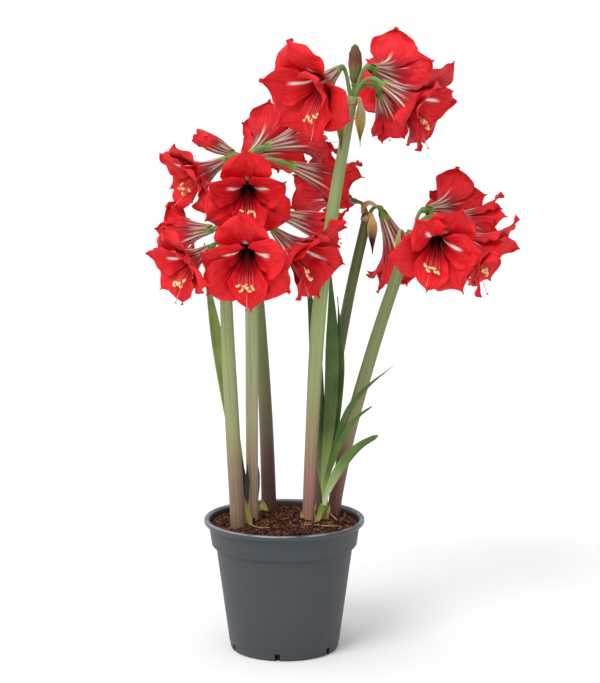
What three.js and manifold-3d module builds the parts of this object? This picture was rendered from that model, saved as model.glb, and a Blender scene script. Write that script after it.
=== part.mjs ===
// Amaryllis (Hippeastrum) in a round plastic nursery pot: three bulbs in potting soil carry six hollow-looking
// scapes, each with an umbel of red trumpet blooms on short arching pedicels, two withered bracts under the umbel,
// and tufts of strap leaves beside the scapes.
// Frame, in millimetres: the origin is the centre of the pot's underside, +Z is up, and -Y is the front.
import * as THREE from "three";
import { mergeVertices } from "three/addons/utils/BufferGeometryUtils.js";
import Module from "manifold-3d";

const wasm = await Module();
wasm.setup();

// ---------------------------------------------------------------- driving dimensions

const GAP = 0.35; // between pieces that touch

const POT = {
  height: 166,
  rimRadius: 100,
  collarRadius: 90.8,
  collarBottom: 133,
  shoulderRadius: 85.5,
  baseRadius: 67.6,
  wall: 1.6,
  floor: 2.4,
  sides: 28,
  slots: 6,
  slotTurn: -97, // degrees from +X of the first drainage slot
  slotWidth: 6.5,
  slotHeight: 9.5,
  slotDepth: 13,
};

const SOIL = { edgeHeight: 158, crown: 4, lumps: 1.2, hole: 1.2 };

// Each bulb: centre on the ground plane. Its flat nose carries scapes and leaves.
const BULB = { radius: 28, bottom: 88, waist: 113, nose: 138, noseRadius: 20, sides: 10 };
const BULBS = {
  bulb_left: [-45, -17],
  bulb_back: [-22, 43],
  bulb_right: [42, 24],
};

// Each scape: its foot on the bulb's nose, points from the soil's surface to the umbel, and its radius at the
// bottom, the middle and the top.
const SCAPES = {
  A: { points: [[-57, -30, 162], [-62, -37, 270], [-68, -39, 400], [-72, -38, 512]], radii: [9.2, 8.6, 7] },
  B: { points: [[-40, 0, 162], [-40, -3, 290], [-40, -2, 400], [-42, 3, 533]], radii: [7.4, 7.6, 7.6] },
  C: { points: [[-20, 58, 162], [-24, 50, 290], [-31, 44, 410], [-46, 44, 590]], radii: [9.8, 7.8, 6.6] },
  D: { points: [[30, 5, 162], [34, -1, 265], [43, -13, 428], [60, -9, 553], [83, -4, 687]], radii: [7.4, 9, 6] },
  E: { points: [[42, 47, 162], [53, 38, 270], [80, 46, 432], [104, 54, 540]], radii: [7.4, 6.8, 6.2] },
  F: { points: [[62, 38, 162], [80, 30, 262], [106, 22, 361], [129, 17, 437], [158, 12, 522]], radii: [8.4, 8.2, 6.8] },
};

// Each bloom: its scape, where its tube starts, the way it faces (azimuth 0 is the front and 90 is +X, then
// elevation and roll, in degrees), the length of a tepal, how far it is open from 0 to 1, and its own seed.
// tuck closes single tepals by so many degrees, by tepal number, where a neighbour is in the way.
const BLOOMS = {
  bloom_A1: {
    scape: "A",
    base: [-42, -46, 516],
    face: [-2, -20, 0],
    length: 102,
    open: 1,
    seed: 1,
    tuck: { 4: 9, 2: 14, 5: 4 },
  },
  bloom_A2: {
    scape: "A",
    base: [-87.5, -53, 509.5],
    face: [-46, -24, 6],
    length: 82,
    open: 0.95,
    seed: 2,
    tuck: { 3: 6, 4: 12, 5: 6 },
  },
  bloom_A3: {
    scape: "A",
    base: [-84, -24, 529],
    face: [-124, -9, -8],
    length: 75,
    open: 0.53,
    seed: 3,
    tuck: { 0: 12, 5: 4, 1: 4 },
  },
  bloom_B1: {
    scape: "B",
    base: [-14, -21, 528],
    face: [49, -31, -28],
    length: 103,
    open: 0.95,
    seed: 4,
    tuck: { 1: 2, 2: 10, 3: 20, 4: 28, 5: 8 },
  },
  bloom_B2: { scape: "B", base: [-43, -12, 584], face: [0, -14, 0], length: 96, open: 0.9, seed: 5, tuck: { 3: 10 } },
  bloom_B3: { scape: "B", base: [-8, 25, 543], face: [93, -18, 0], length: 88, open: 0.02, seed: 6 },
  bloom_C1: {
    scape: "C",
    base: [-69, 24, 610],
    face: [-61, -25, -20],
    length: 90,
    open: 0.9,
    seed: 7,
    tuck: { 3: 18, 4: 4 },
  },
  bloom_C2: { scape: "C", base: [-62, 50, 614], face: [-100, 24, 0], length: 56, open: -0.45, seed: 8 },
  bloom_C3: {
    scape: "C",
    base: [-26, 66, 621],
    face: [91, 14, 0],
    length: 98,
    open: 0.85,
    seed: 9,
    tuck: { 3: 24, 2: 12 },
  },
  bloom_C4: {
    scape: "C",
    base: [4, 42, 602],
    face: [102, -21, 0],
    length: 95,
    open: 0.36,
    seed: 10,
    tuck: { 0: 10, 3: 14, 2: 10, 1: 8, 5: 6 },
  },
  bloom_C5: { scape: "C", base: [-44, 78, 610], face: [152, 14, 0], length: 88, open: 0.85, seed: 11 },
  bloom_D1: {
    scape: "D",
    base: [66, -14, 720],
    face: [-34, -25, 6],
    length: 110,
    open: 1,
    seed: 12,
    tuck: { 4: 16, 5: 18 },
  },
  bloom_D2: { scape: "D", base: [104, 8, 721], face: [150, -13, 0], length: 100, open: 1, seed: 13 },
  bloom_D3: {
    scape: "D",
    base: [114, -10, 705],
    face: [64, -27, -14],
    length: 104,
    open: 0.9,
    seed: 14,
    tuck: { 3: 10, 4: 2 },
  },
  bloom_D4: { scape: "D", base: [115, 12, 692], face: [150, -53, 0], length: 66, open: 0.15, seed: 15 },
  bloom_E1: { scape: "E", base: [121, 62, 543], face: [116, -64, 0], length: 106, open: 0.65, seed: 16 },
  bloom_E2: {
    scape: "E",
    base: [84, 84, 554],
    face: [-145, 9, 0],
    length: 91,
    open: 0.56,
    seed: 17,
    tuck: { 2: 8, 3: 6, 1: 6 },
  },
  bloom_F1: { scape: "F", base: [184, -12, 524], face: [0, -16, -24], length: 98, open: 0.92, seed: 18 },
  bloom_F2: {
    scape: "F",
    base: [174, 28, 547],
    face: [140, -4, 0],
    length: 88,
    open: 0.8,
    seed: 19,
    tuck: { 2: 12, 3: 6 },
  },
  bloom_F3: {
    scape: "F",
    base: [196, 0, 530],
    face: [65, -32.5, -6],
    length: 99,
    open: 0.9,
    seed: 20,
    tuck: { 0: 5, 1: 9, 2: 10, 3: 4 },
  },
  bloom_F4: { scape: "F", base: [198, 26, 538], face: [93, -6, 0], length: 76, open: 0.35, seed: 21 },
};

const BUD = { scape: "D", base: [85, 7, 703], length: 46, radius: 8.8, sides: 8 };

// Each withered bract: its scape, the way it hangs from the umbel (as a bloom's azimuth), the way its hanging face
// is turned, how far it rises, stands out and hangs, and its greatest half width.
const BRACTS = {
  bract_A: { scape: "A", azimuth: 150, turned: 120, rise: 6, out: 8, hang: 34, half: 4.5 },
  bract_B: { scape: "B", azimuth: 160, turned: 130, rise: 6, out: 8, hang: 34, half: 4.5 },
  bract_C: { scape: "C", azimuth: 150, turned: 120, rise: 6, out: 8, hang: 36, half: 4.5 },
  bract_D_left: { scape: "D", azimuth: -50, turned: -15, rise: 9, out: 8, hang: 48, half: 6.6 },
  bract_D_right: { scape: "D", azimuth: 40, turned: 15, rise: 9, out: 8, hang: 48, half: 6.6 },
  bract_E: { scape: "E", azimuth: 20, turned: 6, rise: 8, out: 10, hang: 42, half: 6.5 },
  bract_F: { scape: "F", azimuth: -70, turned: -30, rise: 9, out: 8, hang: 30, half: 5 },
};

// Each neck: the green stub of leaf bases on a bulb's nose, as its foot, its top and its radius.
const NECKS = {
  neck_left: { foot: [-47, -14], top: [-47, -15, 172], radius: 4.4 },
  neck_back: { foot: [-34, 46], top: [-35, 46, 172], radius: 3.6 },
  neck_right: { foot: [44, 8], top: [50.5, 5, 180], radius: 6 },
};

// Each leaf: its neck, how far behind the neck's middle it stands, points to its tip, greatest half width, the way
// its upper face turns once it is clear of the neck, and how blunt its tip is from 0 to 1.
const LEAVES = {
  leaf_left_tall: {
    neck: "left",
    behind: 1.7,
    points: [[-54, -11, 230], [-70, -16, 320], [-86, -16, 418], [-94, -12, 470], [-97, -9, 510]],
    half: 8,
    face: [0.4, -1, 0.2],
  },
  leaf_left_short: { neck: "left", behind: 0, points: [[-53, -16, 250]], half: 3.2, face: [0, -1, 0] },
  leaf_left_middle: { neck: "left", behind: -1.7, points: [[-45, -19, 237]], half: 3.2, face: [0, -1, 0] },
  leaf_back: { neck: "back", behind: 0, points: [[-35, 43, 232]], half: 3.6, face: [0, -1, 0] },
  leaf_right_low: {
    neck: "right",
    behind: -6,
    points: [[56, -4, 204], [64, -9, 222], [79, -15, 246], [95, -20, 262], [115, -27, 275]],
    half: 6.2,
    face: [0.3, -1, 0.9],
    blunt: 0.8,
  },
  leaf_right_cut: {
    neck: "right",
    behind: -4.6,
    points: [[52, -1, 212], [61, -5, 242], [76, -10, 275], [90, -14, 295], [108, -19, 310]],
    half: 4,
    face: [0.4, -1, 0.6],
    blunt: 0.4,
  },
  leaf_right_long: {
    neck: "right",
    behind: -3.4,
    points: [[52, 2, 215], [62, -1, 252], [78, -6, 300], [100, -9, 330], [134, -12, 359]],
    half: 4,
    face: [0.5, -1, 0.5],
  },
  leaf_right_front: {
    neck: "right",
    behind: 0.2,
    points: [[50, 8, 220], [57, 9, 300], [59, 10, 400], [56, 8, 494]],
    half: 8.6,
    face: [0.3, -1, 0],
  },
  leaf_right_slant: {
    neck: "right",
    behind: 2.8,
    points: [[45, 13, 230], [41, 9, 330], [33, 7, 430], [23, 6, 492]],
    half: 8,
    face: [0.4, -1, 0.2],
  },
  leaf_right_back: {
    neck: "right",
    behind: 4.6,
    points: [[54, 15, 225], [64, 20, 300], [69, 21, 380], [66, 22, 440]],
    half: 8,
    face: [-0.5, -1, 0],
  },
  leaf_right_short: {
    neck: "right",
    behind: -1.8,
    points: [[55, 4, 225], [64, 3, 255], [78, 3, 288]],
    half: 3.4,
    face: [-0.3, -1, 0],
  },
};

// ---------------------------------------------------------------- small helpers

const vec = (p) => new THREE.Vector3(...p);
const radians = THREE.MathUtils.degToRad;
const clamp01 = (x) => Math.min(1, Math.max(0, x));
const smooth = (low, high, x) => {
  const t = clamp01((x - low) / (high - low));
  return t * t * (3 - 2 * t);
};

// A repeatable number from 0 to 1 for each seed, tepal and use.
const draw = (seed, part, use) => {
  const x = Math.sin(seed * 12.9898 + part * 78.233 + use * 37.719) * 43758.5453;
  return x - Math.floor(x);
};

// A closed solid from a geometry, whichever way its faces were wound.
function solid(geometry) {
  const bare = geometry.clone();
  bare.deleteAttribute("normal");
  bare.deleteAttribute("uv");
  const merged = mergeVertices(bare, 1e-4);
  const corners = merged.index.array;
  const kept = [];
  for (let i = 0; i < corners.length; i += 3) {
    const [a, b, c] = [corners[i], corners[i + 1], corners[i + 2]];
    if (a !== b && b !== c && c !== a) kept.push(a, b, c);
  }
  const build = (order) =>
    new wasm.Manifold(
      new wasm.Mesh({
        numProp: 3,
        vertProperties: new Float32Array(merged.attributes.position.array),
        triVerts: new Uint32Array(order),
      }),
    );
  const made = build(kept);
  if (made.volume() >= 0) return made;
  const turned = [];
  for (let i = 0; i < kept.length; i += 3) turned.push(kept[i], kept[i + 2], kept[i + 1]);
  return build(turned);
}

function geometryOf(made) {
  const mesh = made.getMesh();
  const positions = new Float32Array(mesh.numVert * 3);
  for (let i = 0; i < mesh.numVert; i++)
    positions.set(mesh.vertProperties.subarray(i * mesh.numProp, i * mesh.numProp + 3), i * 3);
  return new THREE.BufferGeometry()
    .setAttribute("position", new THREE.BufferAttribute(positions, 3))
    .setIndex(new THREE.BufferAttribute(new Uint32Array(mesh.triVerts), 1));
}

const join = (solids) => solids.reduce((all, one) => all.add(one));

// The largest closed body of a solid, which drops loose scraps that a cut leaves.
function mainBody(made) {
  return made.decompose().reduce((best, one) => (one.volume() > best.volume() ? one : best));
}

// A closed skin through rings of equal point count, with a fan over each end.
function loft(rings) {
  const count = rings[0].length;
  const points = rings.flat();
  const index = [];
  for (let r = 0; r + 1 < rings.length; r++)
    for (let i = 0; i < count; i++) {
      const [a, b] = [r * count + i, r * count + ((i + 1) % count)];
      index.push(a, b, a + count, b, b + count, a + count);
    }
  const last = (rings.length - 1) * count;
  for (let i = 1; i + 1 < count; i++) {
    index.push(0, i + 1, i);
    index.push(last, last + i, last + i + 1);
  }
  return new THREE.BufferGeometry().setFromPoints(points).setIndex(index);
}

// A tube along a curve, with the given radius at each share of it. Its first ring lies flat, so that it stands
// square on what carries it.
function tube(curve, shares, radii, sides) {
  const side = new THREE.Vector3(1, 0, 0);
  const rings = shares.map((share, i) => {
    const tangent = i === 0 ? new THREE.Vector3(0, 0, 1) : curve.getTangent(share);
    const middle = curve.getPoint(share);
    side.addScaledVector(tangent, -side.dot(tangent)).normalize();
    const other = new THREE.Vector3().crossVectors(tangent, side);
    return Array.from({ length: sides }, (_, k) => {
      const turn = (2 * Math.PI * k) / sides;
      return middle
        .clone()
        .addScaledVector(side, radii[i] * Math.cos(turn))
        .addScaledVector(other, radii[i] * Math.sin(turn));
    });
  });
  return loft(rings);
}

// A thin closed blade from rows of { point, normal }. Both faces are split into triangles alike.
function blade(rows, thickness) {
  const across = rows[0].length;
  const face = (sign) =>
    rows.flat().map(({ point, normal }) => point.clone().addScaledVector(normal, (sign * thickness) / 2));
  const points = [...face(1), ...face(-1)];
  const under = rows.length * across;
  const index = [];
  for (let r = 0; r + 1 < rows.length; r++)
    for (let c = 0; c + 1 < across; c++) {
      const a = r * across + c;
      const [b, d, e] = [a + 1, a + across, a + across + 1];
      index.push(a, b, d, b, e, d);
      index.push(a + under, d + under, b + under, b + under, d + under, e + under);
    }
  const border = [];
  for (let c = 0; c < across; c++) border.push(c);
  for (let r = 1; r < rows.length; r++) border.push(r * across + across - 1);
  for (let c = across - 2; c >= 0; c--) border.push((rows.length - 1) * across + c);
  for (let r = rows.length - 2; r > 0; r--) border.push(r * across);
  border.forEach((a, i) => {
    const b = border[(i + 1) % border.length];
    index.push(a, a + under, b, b, a + under, b + under);
  });
  return new THREE.BufferGeometry().setFromPoints(points).setIndex(index);
}

// ---------------------------------------------------------------- bloom

const BLADE_THICKNESS = 0.8;
const TUBE_RADIUS = 3.4; // of the tepals' middle lines at the foot of the tube
const TEPAL_STEPS = 40; // along a tepal's middle line
const OUTER_ROWS = [0.06, 0.34, 0.58, 0.8, 1];
const INNER_ROWS = [0.06, 0.35, 0.67, 1];
const TEPAL_COLUMNS = [-1, 0, 1];

// How wide a tepal is at share t of its length: narrow in the tube, widest past the middle, pointed at the tip.
function tepalWidth(t) {
  const widest = 0.63;
  return Math.pow(t / widest, 1.15) * Math.pow(Math.max(0, 1 - t) / (1 - widest), 0.72);
}

// The middle line of tepal k as { rho, z, theta } at even steps: out from the axis, along it, and the lean.
function tepalLine(bloom, k) {
  const outer = k % 2 === 0;
  const reach = [9, -4, 3, -10, 4, -5][k];
  const jitter = 5 * (draw(bloom.seed, k, 1) - 0.5) - ((bloom.tuck ?? {})[k] ?? 0);
  const tubeLean = radians(outer ? 12.5 : 11.5);
  const openLean = radians(15 + 37 * bloom.open + reach * clamp01(bloom.open) + jitter);
  const curl = radians((10 + 26 * bloom.open) * (0.6 + 0.8 * draw(bloom.seed, k, 2)));
  const step = bloom.length / TEPAL_STEPS;
  const line = [{ rho: TUBE_RADIUS + (outer ? 0.9 : -0.9), z: 0, theta: tubeLean }];
  for (let i = 1; i <= TEPAL_STEPS; i++) {
    const t = (i - 0.5) / TEPAL_STEPS;
    const theta = tubeLean + (openLean - tubeLean) * smooth(0.22, 0.74, t) + curl * smooth(0.66, 1, t);
    const last = line[i - 1];
    line.push({ rho: last.rho + step * Math.sin(theta), z: last.z + step * Math.cos(theta), theta });
  }
  return line;
}

// The point and inward normal of tepal k at share t along it and v from -1 to 1 across it, in the bloom's frame:
// z along the bloom's axis, y up, x to its left.
function tepalPoint(bloom, k, line, t, v) {
  const outer = k % 2 === 0;
  const at = Math.min(t, 1) * TEPAL_STEPS;
  const low = Math.min(TEPAL_STEPS - 1, Math.floor(at));
  const mix = (key) => line[low][key] + (line[low + 1][key] - line[low][key]) * (at - low);
  const [rho, z, theta] = [mix("rho"), mix("z"), mix("theta")];
  const broad = (outer ? 0.29 : 0.25) * (k === 3 ? 0.75 : 1) * bloom.length;
  const half = Math.min(broad * tepalWidth(t), rho * (outer ? 0.66 + 0.26 * smooth(0.2, 0.45, t) : 0.54));
  const s = v * half;
  const bend = Math.cos(theta) / rho;
  const around = Math.abs(bend * s) < 1e-6 ? s : Math.sin(bend * s) / bend;
  const inward = Math.abs(bend * s) < 1e-6 ? 0 : (1 - Math.cos(bend * s)) / bend;
  const free = smooth(0.5, 0.9, t);
  const phase = 2 * Math.PI * draw(bloom.seed, k, v < 0 ? 3 : 4);
  const wave = 0.034 * bloom.length * free * Math.abs(v) ** 1.6 * Math.sin(2 * Math.PI * 2.1 * t + phase);
  const backward = (0.4 + 0.9 * draw(bloom.seed, k, 5)) * clamp01(0.4 + bloom.open);
  const roll = -(outer ? 0.09 : 0.02) * bloom.length * free * v * v * backward;
  const twist = 0.5 * (draw(bloom.seed, k, 6) - 0.5) * smooth(0.4, 1, t);
  const apart = (outer ? -1.4 : 1.4) * smooth(0.22, 0.45, t);
  const lift = inward + wave + roll + apart + s * Math.sin(twist);
  const sway = 0.12 * (draw(bloom.seed, k, 7) - 0.5) * bloom.length * smooth(0.3, 1, t) * t;
  const turn = radians(90 + 60 * k);
  const [out, side] = [
    new THREE.Vector3(Math.cos(turn), Math.sin(turn), 0),
    new THREE.Vector3(-Math.sin(turn), Math.cos(turn), 0),
  ];
  const axis = new THREE.Vector3(0, 0, 1);
  const inner = out.clone().multiplyScalar(-Math.cos(theta)).addScaledVector(axis, Math.sin(theta));
  return out
    .multiplyScalar(rho)
    .addScaledVector(axis, z)
    .addScaledVector(side, around + sway)
    .addScaledVector(inner, lift);
}

// Rows of points with the normals of the finished surface, from differences along and across it.
function tepalRows(bloom, k) {
  const line = tepalLine(bloom, k);
  const nudge = 0.01;
  return (k % 2 === 0 ? OUTER_ROWS : INNER_ROWS).map((t) =>
    TEPAL_COLUMNS.map((v) => {
      const point = tepalPoint(bloom, k, line, t, v);
      const ts = Math.min(t, 0.94);
      const along = tepalPoint(bloom, k, line, ts + nudge, v).sub(tepalPoint(bloom, k, line, ts - nudge, v));
      const across = tepalPoint(bloom, k, line, ts, Math.min(1, v + nudge)).sub(
        tepalPoint(bloom, k, line, ts, Math.max(-1, v - nudge)),
      );
      return { point, normal: along.cross(across).normalize() };
    }),
  );
}

// The six stamens and the longer style leave the tube low, lie along the lowest tepal and turn up at the end.
function stamenSolids(bloom) {
  const line = tepalLine(bloom, 3);
  const over = (t, aside, inset) => {
    const { rho, z, theta } = line[Math.round(t * TEPAL_STEPS)];
    return vec([aside, inset * Math.cos(theta) - rho, z + inset * Math.sin(theta)]);
  };
  return [180, 120, 240, 60, 300, 0, 270].map((root, i) => {
    const style = i === 6;
    const upper = root === 60 || root === 120;
    const aside = style ? 3 * (draw(bloom.seed, i, 11) - 0.5) : 3.6 * (i - 2.5) + 2 * (draw(bloom.seed, i, 11) - 0.5);
    const reach = style ? 0.22 : 0.1 * (draw(bloom.seed, i, 13) - 0.5);
    const low = style ? 4.4 : upper ? 7.6 : 6.2;
    const spread = style ? 0.5 : 2.7;
    const curve = new THREE.CatmullRomCurve3([
      vec([spread * Math.cos(radians(root)), spread * Math.sin(radians(root)), 10]),
      over(0.36, aside * 0.3, low),
      over(0.54, aside * 0.8, low + 0.6),
      over(0.74 + reach, aside, low + (style ? 7 : 5)),
    ]);
    const shares = [0, 0.6, 1];
    const radii = style ? [0.8, 0.8, 1] : [0.75, 0.75, 1.7];
    return solid(tube(curve, shares, radii, 3));
  });
}

function facing([azimuth, elevation]) {
  const [a, e] = [radians(azimuth), radians(elevation)];
  return new THREE.Vector3(Math.sin(a) * Math.cos(e), -Math.cos(a) * Math.cos(e), Math.sin(e));
}

// The matrix from a bloom's own frame to the plant's.
function bloomMatrix({ base, face }) {
  const axis = facing(face);
  const up = new THREE.Vector3(0, 0, 1).addScaledVector(axis, -axis.z).normalize();
  up.applyAxisAngle(axis, radians(face[2]));
  const left = new THREE.Vector3().crossVectors(up, axis);
  return new THREE.Matrix4().makeBasis(left, up, axis).setPosition(...base);
}

function bloomGeometry(bloom) {
  const foot = new THREE.LineCurve3(vec([0, 0, 0]), vec([0, 0, 13]));
  const parts = [solid(tube(foot, [0, 1], [4.7, 9.3], 8))];
  for (let k = 0; k < 6; k++) parts.push(solid(blade(tepalRows(bloom, k), BLADE_THICKNESS)));
  if (bloom.open > 0) parts.push(...stamenSolids(bloom));
  return geometryOf(mainBody(join(parts))).applyMatrix4(bloomMatrix(bloom));
}

function budGeometry({ base, length, radius, sides }) {
  const axis = new THREE.LineCurve3(vec(base), vec(base).setZ(base[2] + length));
  const shape = { 0: 0.45, 0.14: 0.7, 0.48: 1, 0.74: 0.9, 0.92: 0.56, 1: 0.16 };
  const shares = Object.keys(shape).map(Number).sort((a, b) => a - b);
  return tube(axis, shares, shares.map((s) => shape[s] * radius), sides);
}

// ---------------------------------------------------------------- scapes, pedicels and bracts

function scapePath(name) {
  const points = SCAPES[name].points.map(vec);
  const foot = points[0].clone().setZ(BULB.nose + GAP);
  return new THREE.CatmullRomCurve3([foot, ...points]);
}

// The stalk of one bloom: out of the umbel, over, and into line with the bloom, with the ovary at its end.
function pedicel(scape, base, direction) {
  const top = vec(SCAPES[scape].points.at(-1));
  const end = vec(base).addScaledVector(direction, -GAP);
  const away = end.clone().sub(top).setZ(0).normalize();
  const stretch = end.distanceTo(top);
  const curve = new THREE.CubicBezierCurve3(
    top.clone().addScaledVector(away, 1.5).add(vec([0, 0, -5])),
    top.clone().addScaledVector(away, 0.22 * stretch).add(vec([0, 0, 0.45 * stretch])),
    end.clone().addScaledVector(direction, -0.5 * stretch),
    end,
  );
  return tube(curve, [0, 0.45, 0.82, 1], [2.6, 2.5, 4, 3.6], 5);
}

function scapeGeometry(name) {
  const [low, middle, high] = SCAPES[name].radii;
  const shares = [0, 0.1, 0.3, 0.55, 0.8, 1];
  const radii = shares.map((s) =>
    s < 0.5 ? low + (middle - low) * 2 * s : middle + (high - middle) * (2 * s - 1),
  );
  const parts = [solid(tube(scapePath(name), shares, radii, 8))];
  for (const bloom of Object.values(BLOOMS))
    if (bloom.scape === name) parts.push(solid(pedicel(name, bloom.base, facing(bloom.face))));
  if (BUD.scape === name) parts.push(solid(pedicel(name, BUD.base, vec([0, 0, 1]))));
  return geometryOf(mainBody(join(parts)));
}

// A strip along a curve, folded along its middle, with its upper face turned by faceAt.
function strip(curve, rows, halfAt, faceAt, fold, thickness) {
  const made = Array.from({ length: rows + 1 }, (_, i) => {
    const share = i / rows;
    const tangent = i === 0 ? new THREE.Vector3(0, 0, 1) : curve.getTangentAt(share);
    const face = faceAt(share);
    const normal = face.addScaledVector(tangent, -face.dot(tangent)).normalize();
    const side = new THREE.Vector3().crossVectors(tangent, normal);
    const half = halfAt(share);
    return [-1, 0, 1].map((v) => ({
      point: curve
        .getPointAt(share)
        .addScaledVector(side, v * half)
        .addScaledVector(normal, (Math.abs(v) - 0.5) * fold * half),
      normal: normal.clone().addScaledVector(side, -v * fold).normalize(),
    }));
  });
  return blade(made, thickness);
}

// A bract starts against its scape just under the umbel, rises, turns over and hangs, half turned to the front.
function bractGeometry({ scape, azimuth, turned, rise, out, hang, half }) {
  const outward = facing([azimuth, 0]);
  const top = SCAPES[scape].radii[2];
  const at = (aside, up) => scapePath(scape).getPoint(0.985).addScaledVector(outward, top + aside).add(vec([0, 0, up]));
  const curve = new THREE.CatmullRomCurve3([
    at(0.9, 0),
    at(1.2 + 0.35 * out, 0.8 * rise),
    at(1.2 + 0.75 * out, rise),
    at(1.2 + out, 0.4 * rise),
    at(1.2 + 1.15 * out, -hang),
  ]);
  const halfAt = (s) => half * Math.max(0.1, 0.3 + 0.7 * smooth(0.2, 0.45, s) - 0.9 * smooth(0.5, 1, s));
  const faceAt = (s) => facing([azimuth + (turned - azimuth) * smooth(0.25, 0.7, s), 180 * (1 - smooth(0, 0.45, s))]);
  return strip(curve, 6, halfAt, faceAt, 0.35, 0.9);
}

// ---------------------------------------------------------------- leaves

function leafGeometry({ neck, behind, points, half, face, blunt = 0 }) {
  const [x, y, z] = NECKS["neck_" + neck].top;
  const foot = vec([x, y + behind, z + GAP]);
  const curve = new THREE.CatmullRomCurve3([foot, foot.clone().setZ(z + 9), ...points.map(vec)]);
  const taper = (s) => Math.max(0.12, 1 - (1 - 0.6 * blunt) * smooth(0.6, 1.02, s));
  const halfAt = (s) => half * (0.4 + 0.6 * smooth(0, 0.45, s)) * taper(s);
  const faceAt = (s) => vec([0, -1, 0]).lerp(vec(face), smooth(0.1, 0.45, s));
  return strip(curve, points.length < 3 ? 3 : 6, halfAt, faceAt, 0.25, 1.1);
}

function neckGeometry({ foot, top, radius }) {
  const curve = new THREE.CatmullRomCurve3([
    vec([...foot, BULB.nose + GAP]),
    vec([...foot, SOIL.edgeHeight + SOIL.crown]),
    vec(top),
  ]);
  const stub = tube(curve, [0, 0.6, 0.85, 1], [1, 1, 1, 0.95].map((r) => r * radius), 10);
  return geometryOf(solid(stub).trimByPlane([0, 0, -1], -top[2]));
}

// ---------------------------------------------------------------- pot, soil and bulbs

function potOuterRadius(z) {
  return POT.baseRadius + ((POT.shoulderRadius - POT.baseRadius) * z) / POT.collarBottom;
}

function potGeometry() {
  const { height, rimRadius, collarRadius, collarBottom, baseRadius, wall, floor } = POT;
  const outline = [
    [0, 0],
    [baseRadius - 3, 0],
    [baseRadius, 3],
    [potOuterRadius(collarBottom - 1.5), collarBottom - 1.5],
    [collarRadius, collarBottom + 2],
    [collarRadius + 3, height - 10],
    [rimRadius, height - 7],
    [rimRadius, height - 1.5],
    [rimRadius - 1.5, height],
    [collarRadius + 3 - wall, height - 3],
    [collarRadius - wall, collarBottom + 4],
    [potOuterRadius(collarBottom) - wall, collarBottom],
    [baseRadius - wall, floor],
    [0, floor],
  ];
  const points = outline.map(([x, y]) => new THREE.Vector2(x, y));
  const body = solid(new THREE.LatheGeometry(points, POT.sides).rotateX(Math.PI / 2));
  let cut = body;
  for (let i = 0; i < POT.slots; i++) {
    const slot = new THREE.BoxGeometry(POT.slotDepth * 2, POT.slotWidth, POT.slotHeight * 2);
    slot.translate(baseRadius, 0, 0).rotateZ(radians(POT.slotTurn + (360 * i) / POT.slots));
    cut = cut.subtract(solid(slot));
  }
  return geometryOf(cut);
}

function bulbGeometry([x, y], extra = 0) {
  const { radius, bottom, waist, nose, noseRadius, sides } = BULB;
  const outline = [
    [0, bottom - extra],
    [radius * 0.45, bottom - extra],
    [radius, waist - 5],
    [radius, waist + 5],
    [noseRadius, nose + extra],
    [0, nose + extra],
  ];
  const points = outline.map(([r, z]) => new THREE.Vector2(r > 0 ? r + extra : 0, z));
  return new THREE.LatheGeometry(points, sides).rotateX(Math.PI / 2).translate(x, y, 0);
}

// The soil fills the pot. Its top is a low crown with lumps, and every scape and neck stands in a plain hole.
function soilGeometry() {
  const { edgeHeight, crown, lumps, hole } = SOIL;
  const { wall, floor, baseRadius, collarRadius, collarBottom } = POT;
  const topRadius = collarRadius - wall + 2.5 - 2 * GAP;
  const crownAt = (r) => edgeHeight + crown * (1 - (r / topRadius) ** 2);
  const rings = [
    [baseRadius - wall - 2 * GAP, floor + GAP],
    [potOuterRadius(collarBottom) - wall - 2 * GAP, collarBottom],
    [collarRadius - wall - 2 * GAP, collarBottom + 4],
    [topRadius, edgeHeight],
    ...[70, 30].map((r) => [r, crownAt(r)]),
  ];
  const made = rings.map(([r, z], row) =>
    Array.from({ length: POT.sides }, (_, i) => {
      const turn = (2 * Math.PI * i) / POT.sides;
      const lump = row > 3 ? lumps * (2 * draw(row, i, 31) - 1) : 0;
      return vec([r * Math.cos(turn), r * Math.sin(turn), z + lump]);
    }),
  );
  const stems = [
    ...Object.values(SCAPES).map(({ points, radii }) => [points[0], radii[0]]),
    ...Object.values(NECKS).map(({ foot, radius }) => [foot, radius]),
  ];
  let soil = solid(loft(made));
  for (const centre of Object.values(BULBS)) soil = soil.subtract(solid(bulbGeometry(centre, GAP)));
  for (const [[x, y], radius] of stems) {
    const line = new THREE.LineCurve3(vec([x, y, BULB.nose - 1]), vec([x, y, BULB.nose + 40]));
    soil = soil.subtract(solid(tube(line, [0, 1], [radius + hole, radius + hole], 8)));
  }
  return geometryOf(mainBody(soil));
}

// ---------------------------------------------------------------- finishes and assembly

const finish = (color, roughness) => new THREE.MeshStandardMaterial({ color, roughness, metalness: 0 });
const FINISHES = {
  plastic: finish(0x4f5357, 0.45),
  soil: finish(0x4f3425, 0.95),
  bulb: finish(0x8a6a45, 0.8),
  scape: finish(0x8f9a66, 0.5),
  leaf: finish(0x4a6a2c, 0.45),
  bract: finish(0xa8a070, 0.7),
  tepal: finish(0xd01e28, 0.5),
  bud: finish(0x7a5a3a, 0.5),
};

const plant = new THREE.Group();
function add(name, geometry, material) {
  const mesh = new THREE.Mesh(geometry, material.clone());
  mesh.name = name;
  plant.add(mesh);
}

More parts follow.
